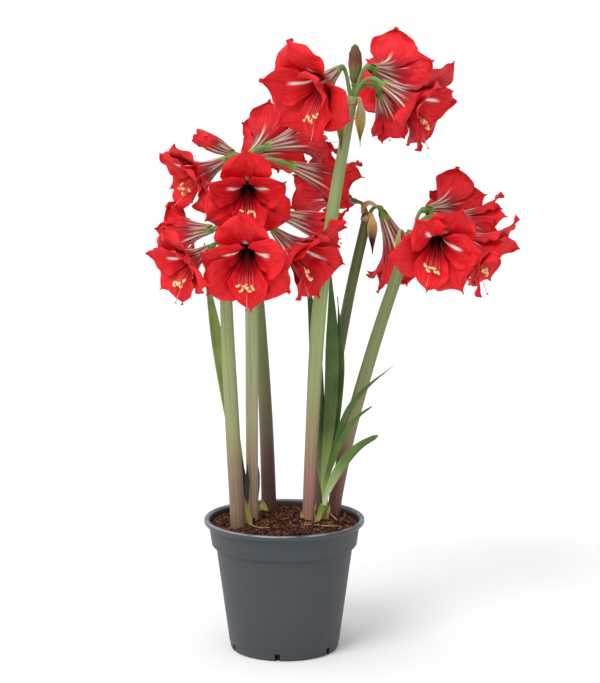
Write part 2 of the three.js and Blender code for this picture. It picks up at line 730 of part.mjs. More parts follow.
add("pot", potGeometry(), FINISHES.plastic);
add("soil", soilGeometry(), FINISHES.soil);
for (const [name, centre] of Object.entries(BULBS)) add(name, bulbGeometry(centre), FINISHES.bulb);
for (const name of Object.keys(SCAPES)) add("scape_" + name, scapeGeometry(name), FINISHES.scape);
for (const [name, bract] of Object.entries(BRACTS)) add(name, bractGeometry(bract), FINISHES.bract);
for (const [name, neck] of Object.entries(NECKS)) add(name, neckGeometry(neck), FINISHES.leaf);
for (const [name, leaf] of Object.entries(LEAVES)) add(name, leafGeometry(leaf), FINISHES.leaf);
for (const [name, bloom] of Object.entries(BLOOMS)) add(name, bloomGeometry(bloom), FINISHES.tepal);
add("bud", budGeometry(BUD), FINISHES.bud);

export default plant;
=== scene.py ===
"""Looks for an amaryllis in a nursery pot: blooms, stalks, leaves, dry bracts, potting soil, pot and studio.

Lengths inside the classes are in millimetres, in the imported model's frame: the origin is the centre of the pot's
underside, +Z is up and -Y is the front. Each piece is scaled to metres when its mesh is finished.
"""

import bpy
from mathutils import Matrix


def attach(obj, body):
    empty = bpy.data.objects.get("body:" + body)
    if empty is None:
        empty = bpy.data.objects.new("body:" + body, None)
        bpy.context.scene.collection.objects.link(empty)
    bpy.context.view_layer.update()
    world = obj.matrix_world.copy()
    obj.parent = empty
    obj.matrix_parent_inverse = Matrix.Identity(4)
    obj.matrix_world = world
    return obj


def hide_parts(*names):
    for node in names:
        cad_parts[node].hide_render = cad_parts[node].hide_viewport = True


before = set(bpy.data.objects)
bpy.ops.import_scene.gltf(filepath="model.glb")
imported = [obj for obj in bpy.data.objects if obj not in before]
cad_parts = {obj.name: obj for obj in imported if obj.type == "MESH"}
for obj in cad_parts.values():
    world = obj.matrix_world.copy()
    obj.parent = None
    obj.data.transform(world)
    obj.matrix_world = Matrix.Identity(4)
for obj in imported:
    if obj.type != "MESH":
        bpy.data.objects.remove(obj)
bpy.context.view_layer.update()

import logging
import math
import random
from dataclasses import dataclass, field
from enum import Enum, IntEnum
from typing import Any, Callable, Optional, Sequence, Union

import bmesh
import bpy
from mathutils import Matrix, Vector, noise

BMesh, BMVert = bmesh.types.BMesh, bmesh.types.BMVert
Material, Piece = bpy.types.Material, bpy.types.Object
Point = tuple[float, float, float]
Colour = tuple[float, float, float, float]

LOG = logging.getLogger("amaryllis")
UP = Vector((0.0, 0.0, 1.0))
MM = 0.001  # a millimetre in metres
DRAW_WEIGHTS = (12.9898, 78.233, 37.719)  # of the seed, the part and the use
DRAW_SPREAD = 43758.5453
NOSE = 138.35  # the height of the bulbs' noses, where stalks and necks start
SOIL_TOP = 162.0  # the height where stalks and necks leave the soil
TORN_THICKNESS = 0.4  # of torn papery bits, in millimetres
TISSUE_DEPTH = 0.003  # how far light goes into plant tissue, in metres


# ---------------------------------------------------------------- numbers


def clamp01(value: float) -> float:
    """Returns the value held between 0 and 1."""
    return min(1.0, max(0.0, value))


def smooth(low: float, high: float, value: float) -> float:
    """Returns a smooth step from 0 at low to 1 at high."""
    share = clamp01((value - low) / (high - low))
    return share * share * (3.0 - 2.0 * share)


class Use(IntEnum):
    """What a drawn number is for, so that each use gets its own."""

    LEAN = 1
    CURL = 2
    LEFT_WAVE = 3
    RIGHT_WAVE = 4
    ROLL = 5
    TWIST = 6
    SWAY = 7
    HOOK = 8
    ASIDE = 11
    REACH = 13
    YAW = 14
    SIZE = 15
    TILT = 16
    LEFT_RUFFLE = 23
    RIGHT_RUFFLE = 24
    TONE = 30
    BLAZE = 31


def draw(seed: float, part: float, use: Use) -> float:
    """Returns a repeatable number from 0 to 1 for a seed, a part of the piece and a use.

    Args:
        seed: the piece's own number.
        part: which part of the piece.
        use: what the number is for.

    Returns:
        The number.
    """
    by_seed, by_part, by_use = DRAW_WEIGHTS
    wave = math.sin(seed * by_seed + part * by_part + use * by_use) * DRAW_SPREAD
    return wave - math.floor(wave)


def facing(azimuth: float, elevation: float) -> Vector:
    """Gives the direction at an azimuth from the front and an elevation.

    Args:
        azimuth: degrees from the front towards +X.
        elevation: degrees above the horizon.

    Returns:
        A unit vector.
    """
    turn, rise = math.radians(azimuth), math.radians(elevation)
    return Vector((math.sin(turn) * math.cos(rise), -math.cos(turn) * math.cos(rise), math.sin(rise)))


def paint(red: int, green: int, blue: int) -> Colour:
    """Turns a screen colour into the linear colour that a shader takes.

    Args:
        red: 0 to 255.
        green: 0 to 255.
        blue: 0 to 255.

    Returns:
        Linear red, green and blue, and an alpha of 1.
    """
    parts = [c / 255.0 for c in (red, green, blue)]
    line = [c / 12.92 if c <= 0.04045 else ((c + 0.055) / 1.055) ** 2.4 for c in parts]
    return (line[0], line[1], line[2], 1.0)


@dataclass(frozen=True)
class Path:
    """A centripetal Catmull-Rom curve through points, in millimetres."""

    points: tuple[Vector, ...]

    SHORTEST = 1e-4
    FINE = 240

    @staticmethod
    def through(*points: Sequence[float]) -> "Path":
        """Makes a path through the points."""
        return Path(tuple(Vector(p) for p in points))

    def at(self, share: float) -> Vector:
        """Gives a point of the curve.

        Args:
            share: 0 at the first point to 1 at the last, even in spans.

        Returns:
            The point.
        """
        spans = len(self.points) - 1
        place = clamp01(share) * spans
        low = min(spans - 1, int(place))
        weight = place - low
        before = self.points[low - 1] if low > 0 else 2 * self.points[0] - self.points[1]
        first, second = self.points[low], self.points[low + 1]
        after = self.points[low + 2] if low + 2 <= spans else 2 * self.points[spans] - self.points[spans - 1]
        knots = (before, first, second, after)
        g0, g1, g2 = (max((b - a).length_squared ** 0.25, self.SHORTEST) for a, b in zip(knots, knots[1:]))
        start = ((first - before) / g0 - (second - before) / (g0 + g1) + (second - first) / g1) * g1
        end = ((second - first) / g1 - (after - first) / (g1 + g2) + (after - second) / g2) * g1
        w, w2, w3 = weight, weight**2, weight**3
        return (
            first * (2 * w3 - 3 * w2 + 1) + start * (w3 - 2 * w2 + w) + end * (w3 - w2) + second * (3 * w2 - 2 * w3)
        )

    def spaced(self, count: int) -> list[Vector]:
        """Gives points along the curve at even distances.

        Args:
            count: how many stretches.

        Returns:
            count + 1 points.
        """
        fine = [self.at(i / self.FINE) for i in range(self.FINE + 1)]
        run = [0.0]
        for a, b in zip(fine, fine[1:]):
            run.append(run[-1] + (b - a).length)
        made, at = [], 0
        for i in range(count + 1):
            goal = run[-1] * i / count
            while at < self.FINE - 1 and run[at + 1] < goal:
                at += 1
            span = max(run[at + 1] - run[at], 1e-9)
            made.append(fine[at].lerp(fine[at + 1], clamp01((goal - run[at]) / span)))
        return made


def tangents(spine: Sequence[Vector]) -> list[Vector]:
    """Gives the unit tangent at each point of a polyline."""
    last = len(spine) - 1
    return [(spine[min(last, i + 1)] - spine[max(0, i - 1)]).normalized() for i in range(last + 1)]


def shaped(stops: Sequence[tuple[float, float]], share: float) -> float:
    """Reads a smooth profile through stops.

    Args:
        stops: pairs of share and value, in order.
        share: where to read.

    Returns:
        The value there.
    """
    for (low, first), (high, second) in zip(stops, stops[1:]):
        if share <= high:
            return first + (second - first) * smooth(low, high, share)
    return stops[-1][1]


# ---------------------------------------------------------------- mesh building


def patch(
    mesh: BMesh, columns: int, rows: int, place: Callable[[float, float], Vector]
) -> list[BMVert]:
    """Lays a grid over a curved surface.

    Args:
        mesh: the mesh that gains the grid.
        columns: stretches across.
        rows: stretches along.
        place: gives the point for a share across from -1 to 1 and a share along from 0 to 1.

    Returns:
        The grid's vertices.
    """
    made = bmesh.ops.create_grid(mesh, x_segments=columns, y_segments=rows, size=1.0, calc_uvs=True)["verts"]
    for vert in made:
        vert.co = place(vert.co.x, (vert.co.y + 1.0) / 2.0)
    return made


def tube(
    mesh: BMesh,
    spine: Sequence[Vector],
    radius: Callable[[float, float], float],
    sides: int,
    level: bool = False,
) -> None:
    """Bends a grid round a spine, welds its seam and closes its ends.

    Args:
        mesh: the mesh that gains the tube.
        spine: points along its middle.
        radius: gives the radius for a share along and a turn in radians.
        sides: faces round it.
        level: whether its first ring lies flat.
    """
    rings = len(spine) - 1
    ways = tangents(spine)
    if level:
        ways[0] = UP.copy()
    side = Vector((1.0, 0.0, 0.0)) if abs(ways[0].x) < 0.9 else Vector((0.0, 1.0, 0.0))
    frames = []
    for way in ways:
        side = (side - way * side.dot(way)).normalized()
        frames.append((side.copy(), way.cross(side)))

    def place(across: float, along: float) -> Vector:
        """Gives a point on the tube's skin.

        Args:
            across: the share across, from -1 to 1.
            along: the share along, from 0 to 1.

        Returns:
            The point.
        """
        ring, turn = round(along * rings), math.pi * (across + 1.0)
        first, second = frames[ring]
        reach = radius(along, turn)
        return spine[ring] + first * (math.cos(turn) * reach) + second * (math.sin(turn) * reach)

    made = patch(mesh, sides, rings, place)
    bmesh.ops.remove_doubles(mesh, verts=made, dist=1e-4)
    bmesh.ops.holes_fill(mesh, edges=[e for e in mesh.edges if e.is_boundary], sides=0)


def new_mesh() -> BMesh:
    """Starts a mesh with a UV map.

    Returns:
        The mesh.
    """
    mesh = bmesh.new()
    mesh.loops.layers.uv.new("UVMap")
    return mesh


def spun(profile: Sequence[tuple[float, float]], steps: int) -> BMesh:
    """Spins a profile round the z axis.

    Args:
        profile: pairs of radius and height.
        steps: faces round it.

    Returns:
        The mesh.
    """
    mesh = new_mesh()
    verts = [mesh.verts.new((r, 0.0, z)) for r, z in profile]
    edges = [mesh.edges.new(pair) for pair in zip(verts, verts[1:])]
    turn = {"cent": (0, 0, 0), "axis": (0, 0, 1), "angle": 2 * math.pi}
    bmesh.ops.spin(mesh, geom=verts + edges, **turn, steps=steps, use_merge=True)
    bmesh.ops.remove_doubles(mesh, verts=mesh.verts, dist=1e-3)
    return mesh


def use_second_slot(mesh: BMesh, first: int) -> None:
    """Gives the second material slot to the faces from the first one named to the last.

    Args:
        mesh: the mesh.
        first: the first face.
    """
    mesh.faces.ensure_lookup_table()
    for face in mesh.faces[first:]:
        face.material_index = 1


def to_data(mesh: BMesh, name: str) -> bpy.types.Mesh:
    """Turns a mesh into named mesh data and frees it.

    Args:
        mesh: the mesh.
        name: its name.

    Returns:
        The mesh data.
    """
    data = bpy.data.meshes.new(name)
    mesh.to_mesh(data)
    mesh.free()
    return data


def linked(name: str, data: bpy.types.ID) -> Piece:
    """Makes an object at the origin and links it to the scene.

    Args:
        name: its name.
        data: what it shows.

    Returns:
        The object.
    """
    made = bpy.data.objects.new(name, data)
    bpy.context.scene.collection.objects.link(made)
    return made


def close_mesh(mesh: BMesh, name: str, materials: Sequence[Material], recalculate: bool = True) -> Piece:
    """Turns a mesh in millimetres into an object in metres at the origin.

    Args:
        mesh: the mesh, which is freed.
        name: the object's name.
        materials: its material slots, in order.
        recalculate: whether to turn its faces outwards, which suits closed skins.

    Returns:
        The object, linked to the scene.
    """
    if recalculate:
        bmesh.ops.recalc_face_normals(mesh, faces=mesh.faces)
    bmesh.ops.scale(mesh, vec=(MM, MM, MM), verts=mesh.verts)
    for face in mesh.faces:
        face.smooth = True
    data = to_data(mesh, name)
    for material in materials:
        data.materials.append(material)
    return linked(name, data)


def declare(piece: Piece, slot: str, *nodes: str) -> None:
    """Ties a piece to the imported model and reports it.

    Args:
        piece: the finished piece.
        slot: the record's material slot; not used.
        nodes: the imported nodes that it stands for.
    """
    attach(piece, "root")
    if nodes:
        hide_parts(*nodes)
    LOG.info("%s: %d faces, for %s", piece.name, len(piece.data.polygons), ", ".join(nodes) or "no node")


def thicken(piece: Piece, thickness: float, two_faced: bool = False) -> None:
    """Gives a sheet its thickness.

    Args:
        piece: the sheet, whose front is its upper or inner face.
        thickness: in millimetres.
        two_faced: whether its back takes the next material slot.
    """
    wall = piece.modifiers.new("thickness", "SOLIDIFY")
    wall.thickness = thickness * MM
    wall.offset = 0.0
    wall.use_rim = True
    if two_faced:
        wall.material_offset = 1


def sheet(mesh: BMesh, name: str, skin: Material, thickness: float, slot: str, *nodes: str) -> None:
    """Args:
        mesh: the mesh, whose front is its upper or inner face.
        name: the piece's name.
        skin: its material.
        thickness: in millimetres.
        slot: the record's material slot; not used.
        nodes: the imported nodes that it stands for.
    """
    made = close_mesh(mesh, name, (skin,), recalculate=False)
    thicken(made, thickness)
    declare(made, slot, *nodes)


# ---------------------------------------------------------------- shader maths


Value = Union["Signal", float, int, tuple]


@dataclass(frozen=True)
class Signal:
    """A shader socket that Python's operators work on."""

    graph: "Graph"
    socket: Any

    def __add__(self, other: Value) -> "Signal":
        """Adds."""
        return self.graph.maths("ADD", self, other)

    __radd__ = __add__

    def __sub__(self, other: Value) -> "Signal":
        """Subtracts."""
        return self.graph.maths("SUBTRACT", self, other)

    def __rsub__(self, other: Value) -> "Signal":
        """Subtracts from a value."""
        return self.graph.maths("SUBTRACT", other, self)

    def __mul__(self, other: Value) -> "Signal":
        """Multiplies."""
        return self.graph.maths("MULTIPLY", self, other)

    __rmul__ = __mul__

    def __pow__(self, other: Value) -> "Signal":
        """Raises to a power."""
        return self.graph.maths("POWER", self, other)

    def __abs__(self) -> "Signal":
        """Drops the sign."""
        return self.graph.maths("ABSOLUTE", self)

    def between(self, low: float, high: float) -> "Signal":
        """Gives a smooth step.

        Args:
            low: where it is 0.
            high: where it is 1, which may be below low.

        Returns:
            A signal from 0 to 1.
        """
        flip = high < low
        edges = {"From Min": high, "From Max": low} if flip else {"From Min": low, "From Max": high}
        ends = {"To Min": 1.0, "To Max": 0.0} if flip else {"To Min": 0.0, "To Max": 1.0}
        return self.graph.signal(
            "ShaderNodeMapRange", {"interpolation_type": "SMOOTHSTEP"}, {"Value": self, **edges, **ends}
        )


class Graph:
    """The node tree of a material or a world, written as expressions."""

    def __init__(self, owner: Union[str, bpy.types.World]) -> None:
        """Starts an empty tree.

        Args:
            owner: a new material's name, or a world.
        """
        self.owner = bpy.data.materials.new(owner) if isinstance(owner, str) else owner
        self.owner.use_nodes = True
        self.tree = self.owner.node_tree
        self.tree.nodes.clear()

    def node(self, kind: str, settings: Optional[dict] = None, inputs: Optional[dict] = None) -> Any:
        """Adds a node.

        Args:
            kind: the node's type.
            settings: its own settings, and a ramp's "stops" as pairs of place and colour.
            inputs: values or signals by socket name or number.

        Returns:
            The node.
        """
        made = self.tree.nodes.new(kind)
        for key, value in (settings or {}).items():
            if key == "stops":
                ramp = made.color_ramp
                while len(ramp.elements) < len(value):
                    ramp.elements.new(1.0)
                for element, (place, colour) in zip(ramp.elements, value):
                    element.position, element.color = place, colour
            else:
                setattr(made, key, value)
        for key, value in (inputs or {}).items():
            if isinstance(value, Signal):
                self.tree.links.new(value.socket, made.inputs[key])
            else:
                made.inputs[key].default_value = value
        return made

    def signal(
        self,
        kind: str,
        settings: Optional[dict] = None,
        inputs: Optional[dict] = None,
        output: Union[int, str] = 0,
    ) -> Signal:
        """Adds a node and wraps one of its outputs.

        Args:
            kind: the node's type.
            settings: its own settings.
            inputs: values or signals by socket.
            output: the output's name or number.

        Returns:
            The signal.
        """
        return Signal(self, self.node(kind, settings, inputs).outputs[output])

    def maths(self, operation: str, *values: Value) -> Signal:
        """Adds a Math node on the values."""
        return self.signal("ShaderNodeMath", {"operation": operation}, dict(enumerate(values)))

    def blend(self, factor: Value, first: Value, second: Value) -> Signal:
        """Mixes two colours.

        Args:
            factor: 0 for the first to 1 for the second.
            first: a colour or signal.
            second: a colour or signal.

        Returns:
            The colour signal.
        """
        return self.signal("ShaderNodeMix", {"data_type": "RGBA"}, {0: factor, 6: first, 7: second}, 2)

    def darken(self, colour: Signal, amount: Value) -> Signal:
        """Scales a colour by an amount."""
        return self.signal("ShaderNodeVectorMath", {"operation": "SCALE"}, {0: colour, "Scale": amount})

    def vector(self, x: Value, y: Value, z: Value) -> Signal:
        """Joins three numbers into a vector."""
        return self.signal("ShaderNodeCombineXYZ", None, {0: x, 1: y, 2: z})

    def split(self, vector: Signal) -> tuple[Signal, Signal, Signal]:
        """Splits a vector into its three numbers."""
        made = self.node("ShaderNodeSeparateXYZ", None, {0: vector})
        return tuple(Signal(self, made.outputs[i]) for i in range(3))

    def place(self) -> Signal:
        """Gives the object coordinates, in metres."""
        return self.signal("ShaderNodeTexCoord", None, None, "Object")

    def uv(self) -> tuple[Signal, Signal]:
        """Gives the share across or round a piece and the share along it."""
        across, along, _ = self.split(self.signal("ShaderNodeUVMap", {"uv_map": "UVMap"}))
        return across, along

    def attribute(self, name: str) -> Signal:
        """Gives a number kept on the piece's vertices."""
        return self.signal("ShaderNodeAttribute", {"attribute_name": name}, None, "Fac")

    def noise(self, vector: Signal, scale: float, detail: float = 2.0, roughness: float = 0.5) -> Signal:
        """Gives a noise of 0 to 1.

        Args:
            vector: where it is read.
            scale: how fine it is.
            detail: its octaves.
            roughness: the weight of the fine octaves.

        Returns:
            The signal.
        """
        return self.signal(
            "ShaderNodeTexNoise", None, {"Vector": vector, "Scale": scale, "Detail": detail, "Roughness": roughness}
        )

    def ramp(self, factor: Signal, *stops: tuple[float, tuple]) -> Signal:
        """Turns a number into a colour through stops."""
        return self.signal("ShaderNodeValToRGB", {"stops": stops}, {0: factor})

    def relief(self, height: Signal, depth: float, strength: float = 1.0, under: Optional[Signal] = None) -> Signal:
        """Turns a height into a normal.

        Args:
            height: 0 to 1.
            depth: what 1 stands for, in millimetres.
            strength: how much of it shows.
            under: a normal that it lies on.

        Returns:
            The normal signal.
        """
        inputs = {"Height": height, "Distance": depth * MM, "Strength": strength}
        if under is not None:
            inputs["Normal"] = under
        return self.signal("ShaderNodeBump", None, inputs)

    def finish(self, **inputs: Value) -> Material:
        """Ends the material with a Principled shader.

        Args:
            inputs: its sockets, with _ for a space.

        Returns:
            The material.
        """
        sockets = {key.replace("_", " "): value for key, value in inputs.items()}
        shader = self.node("ShaderNodeBsdfPrincipled", None, sockets)
        self.node("ShaderNodeOutputMaterial", None, {"Surface": Signal(self, shader.outputs[0])})
        return self.owner


# ---------------------------------------------------------------- finishes


def tissue(weight: float, radius: Point) -> dict[str, Any]:
    """Gives the sockets that let some light into plant tissue.

    Args:
        weight: how much of the light goes in.
        radius: how far its red, green and blue go, next to each other.

    Returns:
        Values by socket.
    """
    return {"Subsurface_Weight": weight, "Subsurface_Radius": radius, "Subsurface_Scale": TISSUE_DEPTH}


class Side(Enum):
    """The face of a tepal."""

    INNER = "inner"
    OUTER = "outer"


@dataclass(frozen=True)
class TepalFinish:
    """Velvety scarlet tepals with crimson veins, pale blazes and a dark throat, with painted shade in the creases and
    deep in the throat, and painted coral glints towards the tips.
    """

    side: Side
    scarlet: Colour = paint(216, 9, 27)
    bright: Colour = paint(243, 26, 38)
    crimson: Colour = paint(146, 2, 18)
    maroon: Colour = paint(62, 6, 12)
    throat: Colour = paint(52, 62, 22)
    blaze: Colour = paint(255, 248, 236)
    cream: Colour = paint(206, 178, 110)
    blush: Colour = paint(240, 96, 112)
    tube: Colour = paint(132, 160, 70)
    rib: Colour = paint(240, 228, 206)
    wine: Colour = paint(98, 6, 30)
    glint_coral: Colour = paint(252, 110, 92)

    def build(self) -> Material:
        """Builds the material for this side.

        Returns:
            The material.
        """
        graph = Graph(f"tepal_{self.side.value}")
        across, along = graph.uv()
        off = abs(across * 2.0 - 1.0)
        tone = graph.attribute("tone")
        veins = graph.noise(graph.vector(across * 58.0, along * 2.4, tone * 31.0), 1.0, 3.0, 0.6)
        folds = graph.noise(graph.vector(across * 11.0, along * 9.0, tone * 17.0), 1.0, 3.0, 0.55)
        cloud = graph.noise(graph.place(), 34.0, 2.0)
        vein = veins.between(0.42, 0.6)
        paint_face = self.inner if self.side is Side.INNER else self.outer
        # the last argument is the mask of painted shade in the creases
        colour = paint_face(graph, off, along, tone, vein, cloud, folds.between(0.52, 0.3))
        # painted highlight: fine coral glints towards the tips
        glint = graph.noise(graph.place(), 1300.0, 2.0, 0.6).between(0.56, 0.68)
        colour = graph.blend(glint * along.between(0.5, 0.8) * 0.35, colour, self.glint_coral)
        colour = graph.blend(off.between(0.965, 1.0) * 0.5, colour, graph.darken(colour, 0.55))
        skin = graph.relief(veins, 0.7, 0.6, graph.relief(folds, 2.2, 0.6))
        return graph.finish(
            Base_Color=colour,
            Roughness=0.44 + 0.2 * cloud,
            Normal=skin,
            Specular_IOR_Level=0.22,
            Sheen_Weight=0.04,
            Sheen_Roughness=0.4,
            Sheen_Tint=(1.0, 0.35, 0.35, 1.0),
            **tissue(0.1, (1.0, 0.08, 0.06)),
        )

    def inner(
        self, graph: Graph, off: Signal, along: Signal, tone: Signal, vein: Signal, cloud: Signal, fold: Signal
    ) -> Signal:
        """Colours the face that looks into the bloom.

        Args:
            graph: the material's graph.
            off: 0 on the midrib to 1 at the edge.
            along: 0 at the foot to 1 at the tip.
            tone: a number for each tepal.
            vein: the fine veins.
            cloud: broad patches.
            fold: the creases along the tepal, where shade is painted.

        Returns:
            The colour.
        """
        red = graph.blend(cloud.between(0.35, 0.7) * 0.6 + tone * 0.4, self.scarlet, self.bright)
        # painted shade: the red is darkened in the creases
        red = graph.blend(fold * 0.4, red, graph.darken(red, 0.55))
        red = graph.blend(vein * 0.5, red, self.crimson)
        red = graph.blend(off.between(0.6, 1.0) * 0.4, red, self.bright)
        # Towards the throat the red darkens to crimson and maroon, with maroon streaks on the plain tepals: partly the
        # throat's own dark colour, partly painted shade deep in the trumpet.
        red = graph.blend(along.between(0.64, 0.3) * (0.4 + 0.5 * vein), red, self.crimson)
        plain = 1.0 - graph.attribute("blaze")
        streak = along.between(0.64, 0.34) * (0.25 + 0.75 * vein) * plain * off.between(1.0, 0.3)
        red = graph.blend(streak * 0.8, red, self.maroon)
        red = graph.blend(along.between(0.42, 0.23), red, self.maroon)
        red = graph.blend(along.between(0.19, 0.1), red, self.throat)
        mark = graph.attribute("blaze")
        strip = mark.between(0.0, 0.3) * along.between(0.13, 0.22) * (along - 0.36 * mark).between(0.42, 0.3)
        taper = off + 0.1 * (along - 0.55)
        halo = taper.between(0.3, 0.08) * strip * along.between(0.36, 0.5)
        white = taper.between(0.125, 0.08) * strip
        core = graph.blend(along.between(0.2, 0.3), self.cream, self.blaze)
        red = graph.blend(halo * 0.6, red, self.blush)
        return graph.blend(white, red, core)

    def outer(
        self, graph: Graph, off: Signal, along: Signal, tone: Signal, vein: Signal, cloud: Signal, fold: Signal
    ) -> Signal:
        """Colours the face that looks away from the bloom.

        Args:
            graph: the material's graph.
            off: 0 on the midrib to 1 at the edge.
            along: the share along, from 0 to 1.
            tone: a number for each tepal.
            vein: the fine veins.
            cloud: broad patches.
            fold: the creases along the tepal, where shade is painted.

        Returns:
            The colour.
        """
        red = graph.blend(cloud.between(0.3, 0.75) * 0.6 + tone * 0.4, paint(216, 14, 30), paint(246, 36, 46))
        # painted shade: the red is darkened in the creases
        red = graph.blend(fold * 0.4, red, graph.darken(red, 0.55))
        red = graph.blend(vein * 0.45, red, paint(138, 4, 26))
        red = graph.blend(along.between(0.66, 0.3) * 0.85, red, self.wine)
        stripe = (off + 0.12 * along).between(0.17, 0.1) * along.between(0.68, 0.4)
        sides = (1.0 - abs(off - 0.42) * 9.0).between(0.1, 0.8) * along.between(0.54, 0.34)
        lines = vein.between(0.6, 0.95) * off.between(0.95, 0.6) * along.between(0.5, 0.26) * 0.4
        edge = off.between(0.74, 0.88) * along.between(0.44, 0.26) * 0.5
        red = graph.blend(lines, red, self.rib)
        red = graph.blend(sides * (0.15 + 0.7 * vein), red, self.rib)
        red = graph.blend(stripe * (0.7 + 0.3 * vein), red, self.rib)
        red = graph.blend(edge, red, self.rib)
        return graph.blend(along.between(0.15, 0.05), red, self.tube)


@dataclass(frozen=True)
class StalkFinish:
    """Waxy green flesh that turns mauve-brown towards the soil."""

    name: str
    top: Colour
    middle: Colour
    foot: Colour
    rough: float = 0.42

    def build(self) -> Material:
        """Builds the material.

        Returns:
            The material.
        """
        graph = Graph(self.name)
        place = graph.place()
        _, _, height = graph.split(place)
        across, along = graph.uv()
        streaks = graph.noise(graph.vector(across * 26.0, along * 3.0, height * 4.0), 1.0, 3.0, 0.6)
        cloud = graph.noise(place, 26.0, 3.0)
        level = height + 0.06 * (cloud - 0.5) + 0.05 * (streaks - 0.5)
        stops = ((0.0, self.foot), (0.05, self.foot), (0.26, self.middle), (0.8, self.top))
        colour = graph.ramp(level.between(0.17, 0.5), *stops)
        colour = graph.blend(streaks.between(0.46, 0.66) * 0.5, colour, graph.darken(colour, 0.6))
        colour = graph.blend(streaks.between(0.48, 0.3) * 0.4, colour, graph.darken(colour, 1.25))
        return graph.finish(
            Base_Color=colour,
            Roughness=self.rough + 0.2 * cloud,
            Normal=graph.relief(streaks, 0.35, 0.6),
            Specular_IOR_Level=0.4,
            **tissue(0.06, (0.6, 1.0, 0.3)),
        )


@dataclass(frozen=True)
class LeafFinish:
    """Satin strap leaves with lengthwise lines, paler at the foot."""

    name: str
    blade: Colour = paint(50, 76, 20)
    light: Colour = paint(84, 110, 36)
    foot: Colour = paint(176, 194, 110)
    pale_to: float = 0.36

    def build(self) -> Material:
        """Builds the material.

        Returns:
            The material.
        """
        graph = Graph(self.name)
        across, along = graph.uv()
        off = abs(across * 2.0 - 1.0)
        lines = graph.noise(graph.vector(across * 34.0, along * 1.6, 0.0), 1.0, 3.0, 0.6)
        cloud = graph.noise(graph.place(), 22.0, 3.0)
        colour = graph.blend(cloud.between(0.35, 0.7), self.blade, self.light)
        colour = graph.blend(lines.between(0.42, 0.64) * 0.45, colour, graph.darken(colour, 0.6))
        colour = graph.blend(off.between(0.12, 0.0) * 0.35, colour, self.light)
        colour = graph.blend(off.between(0.9, 1.0) * 0.4, colour, self.light)
        colour = graph.blend(along.between(self.pale_to, 0.02) * 0.9, colour, self.foot)
        colour = graph.blend(along.between(0.975, 1.0) * 0.7, colour, paint(120, 96, 60))
        return graph.finish(
            Base_Color=colour,
            Roughness=0.36 + 0.2 * cloud,
            Normal=graph.relief(lines, 0.3, 0.6),
            Specular_IOR_Level=0.45,
            **tissue(0.06, (0.5, 1.0, 0.2)),
        )


@dataclass(frozen=True)
class PaperFinish:
    """Dry bract or sheath, with veins along it and a green or brown cast."""

    name: str
    fresh: Colour
    dry: Colour
    tip: Colour
    tip_from: float = 0.92
    hem: float = 0.0

    def build(self) -> Material:
        """Builds the material.

        Returns:
            The material.
        """
        graph = Graph(self.name)
        across, along = graph.uv()
        lines = graph.noise(graph.vector(across * 16.0, along * 1.8, 0.0), 1.0, 3.0, 0.6)
        cloud = graph.noise(graph.place(), 60.0, 3.0)
        share = along + 0.3 * (cloud - 0.5)
        dry_from = 0.75 * self.tip_from - 0.09
        stops = ((0.0, self.fresh), (0.35, self.fresh), (dry_from, self.dry), (self.tip_from, self.tip))
        colour = graph.ramp(share, *stops)
        colour = graph.blend(lines.between(0.45, 0.65) * 0.55, colour, graph.darken(colour, 0.55))
        rim = abs(across * 2.0 - 1.0).between(0.72, 0.95) * along.between(0.9, 0.6)
        colour = graph.blend(rim * self.hem, colour, paint(226, 200, 168))
        return graph.finish(
            Base_Color=colour,
            Roughness=0.55 + 0.25 * cloud,
            Normal=graph.relief(lines, 0.5, 0.7),
            Specular_IOR_Level=0.3,
            **tissue(0.1, (1.0, 0.8, 0.4)),
        )


@dataclass(frozen=True)
class FilamentFinish:
    """Filaments and styles: crimson in the tube, pink-white towards the anthers."""

    stops: tuple[tuple[float, Colour], ...] = (
        (0.0, paint(70, 44, 26)),
        (0.3, paint(136, 14, 28)),
        (0.7, paint(200, 52, 62)),
        (1.0, paint(232, 140, 130)),
    )

    def build(self) -> Material:
        """Builds the material.

        Returns:
            The material.
        """
        graph = Graph("filament")
        _, along = graph.uv()
        return graph.finish(Base_Color=graph.ramp(along, *self.stops), Roughness=0.45, Specular_IOR_Level=0.4)


@dataclass(frozen=True)
class AntherFinish:
    """Cream anthers powdered with pollen."""

    def build(self) -> Material:
        """Builds the material.

        Returns:
            The material.
        """
        graph = Graph("anther")
        grain = graph.noise(graph.place(), 1800.0, 2.0)
        colour = graph.blend(grain.between(0.35, 0.65), paint(246, 226, 168), paint(226, 190, 120))
        return graph.finish(Base_Color=colour, Roughness=0.85, Normal=graph.relief(grain, 0.2, 0.6))


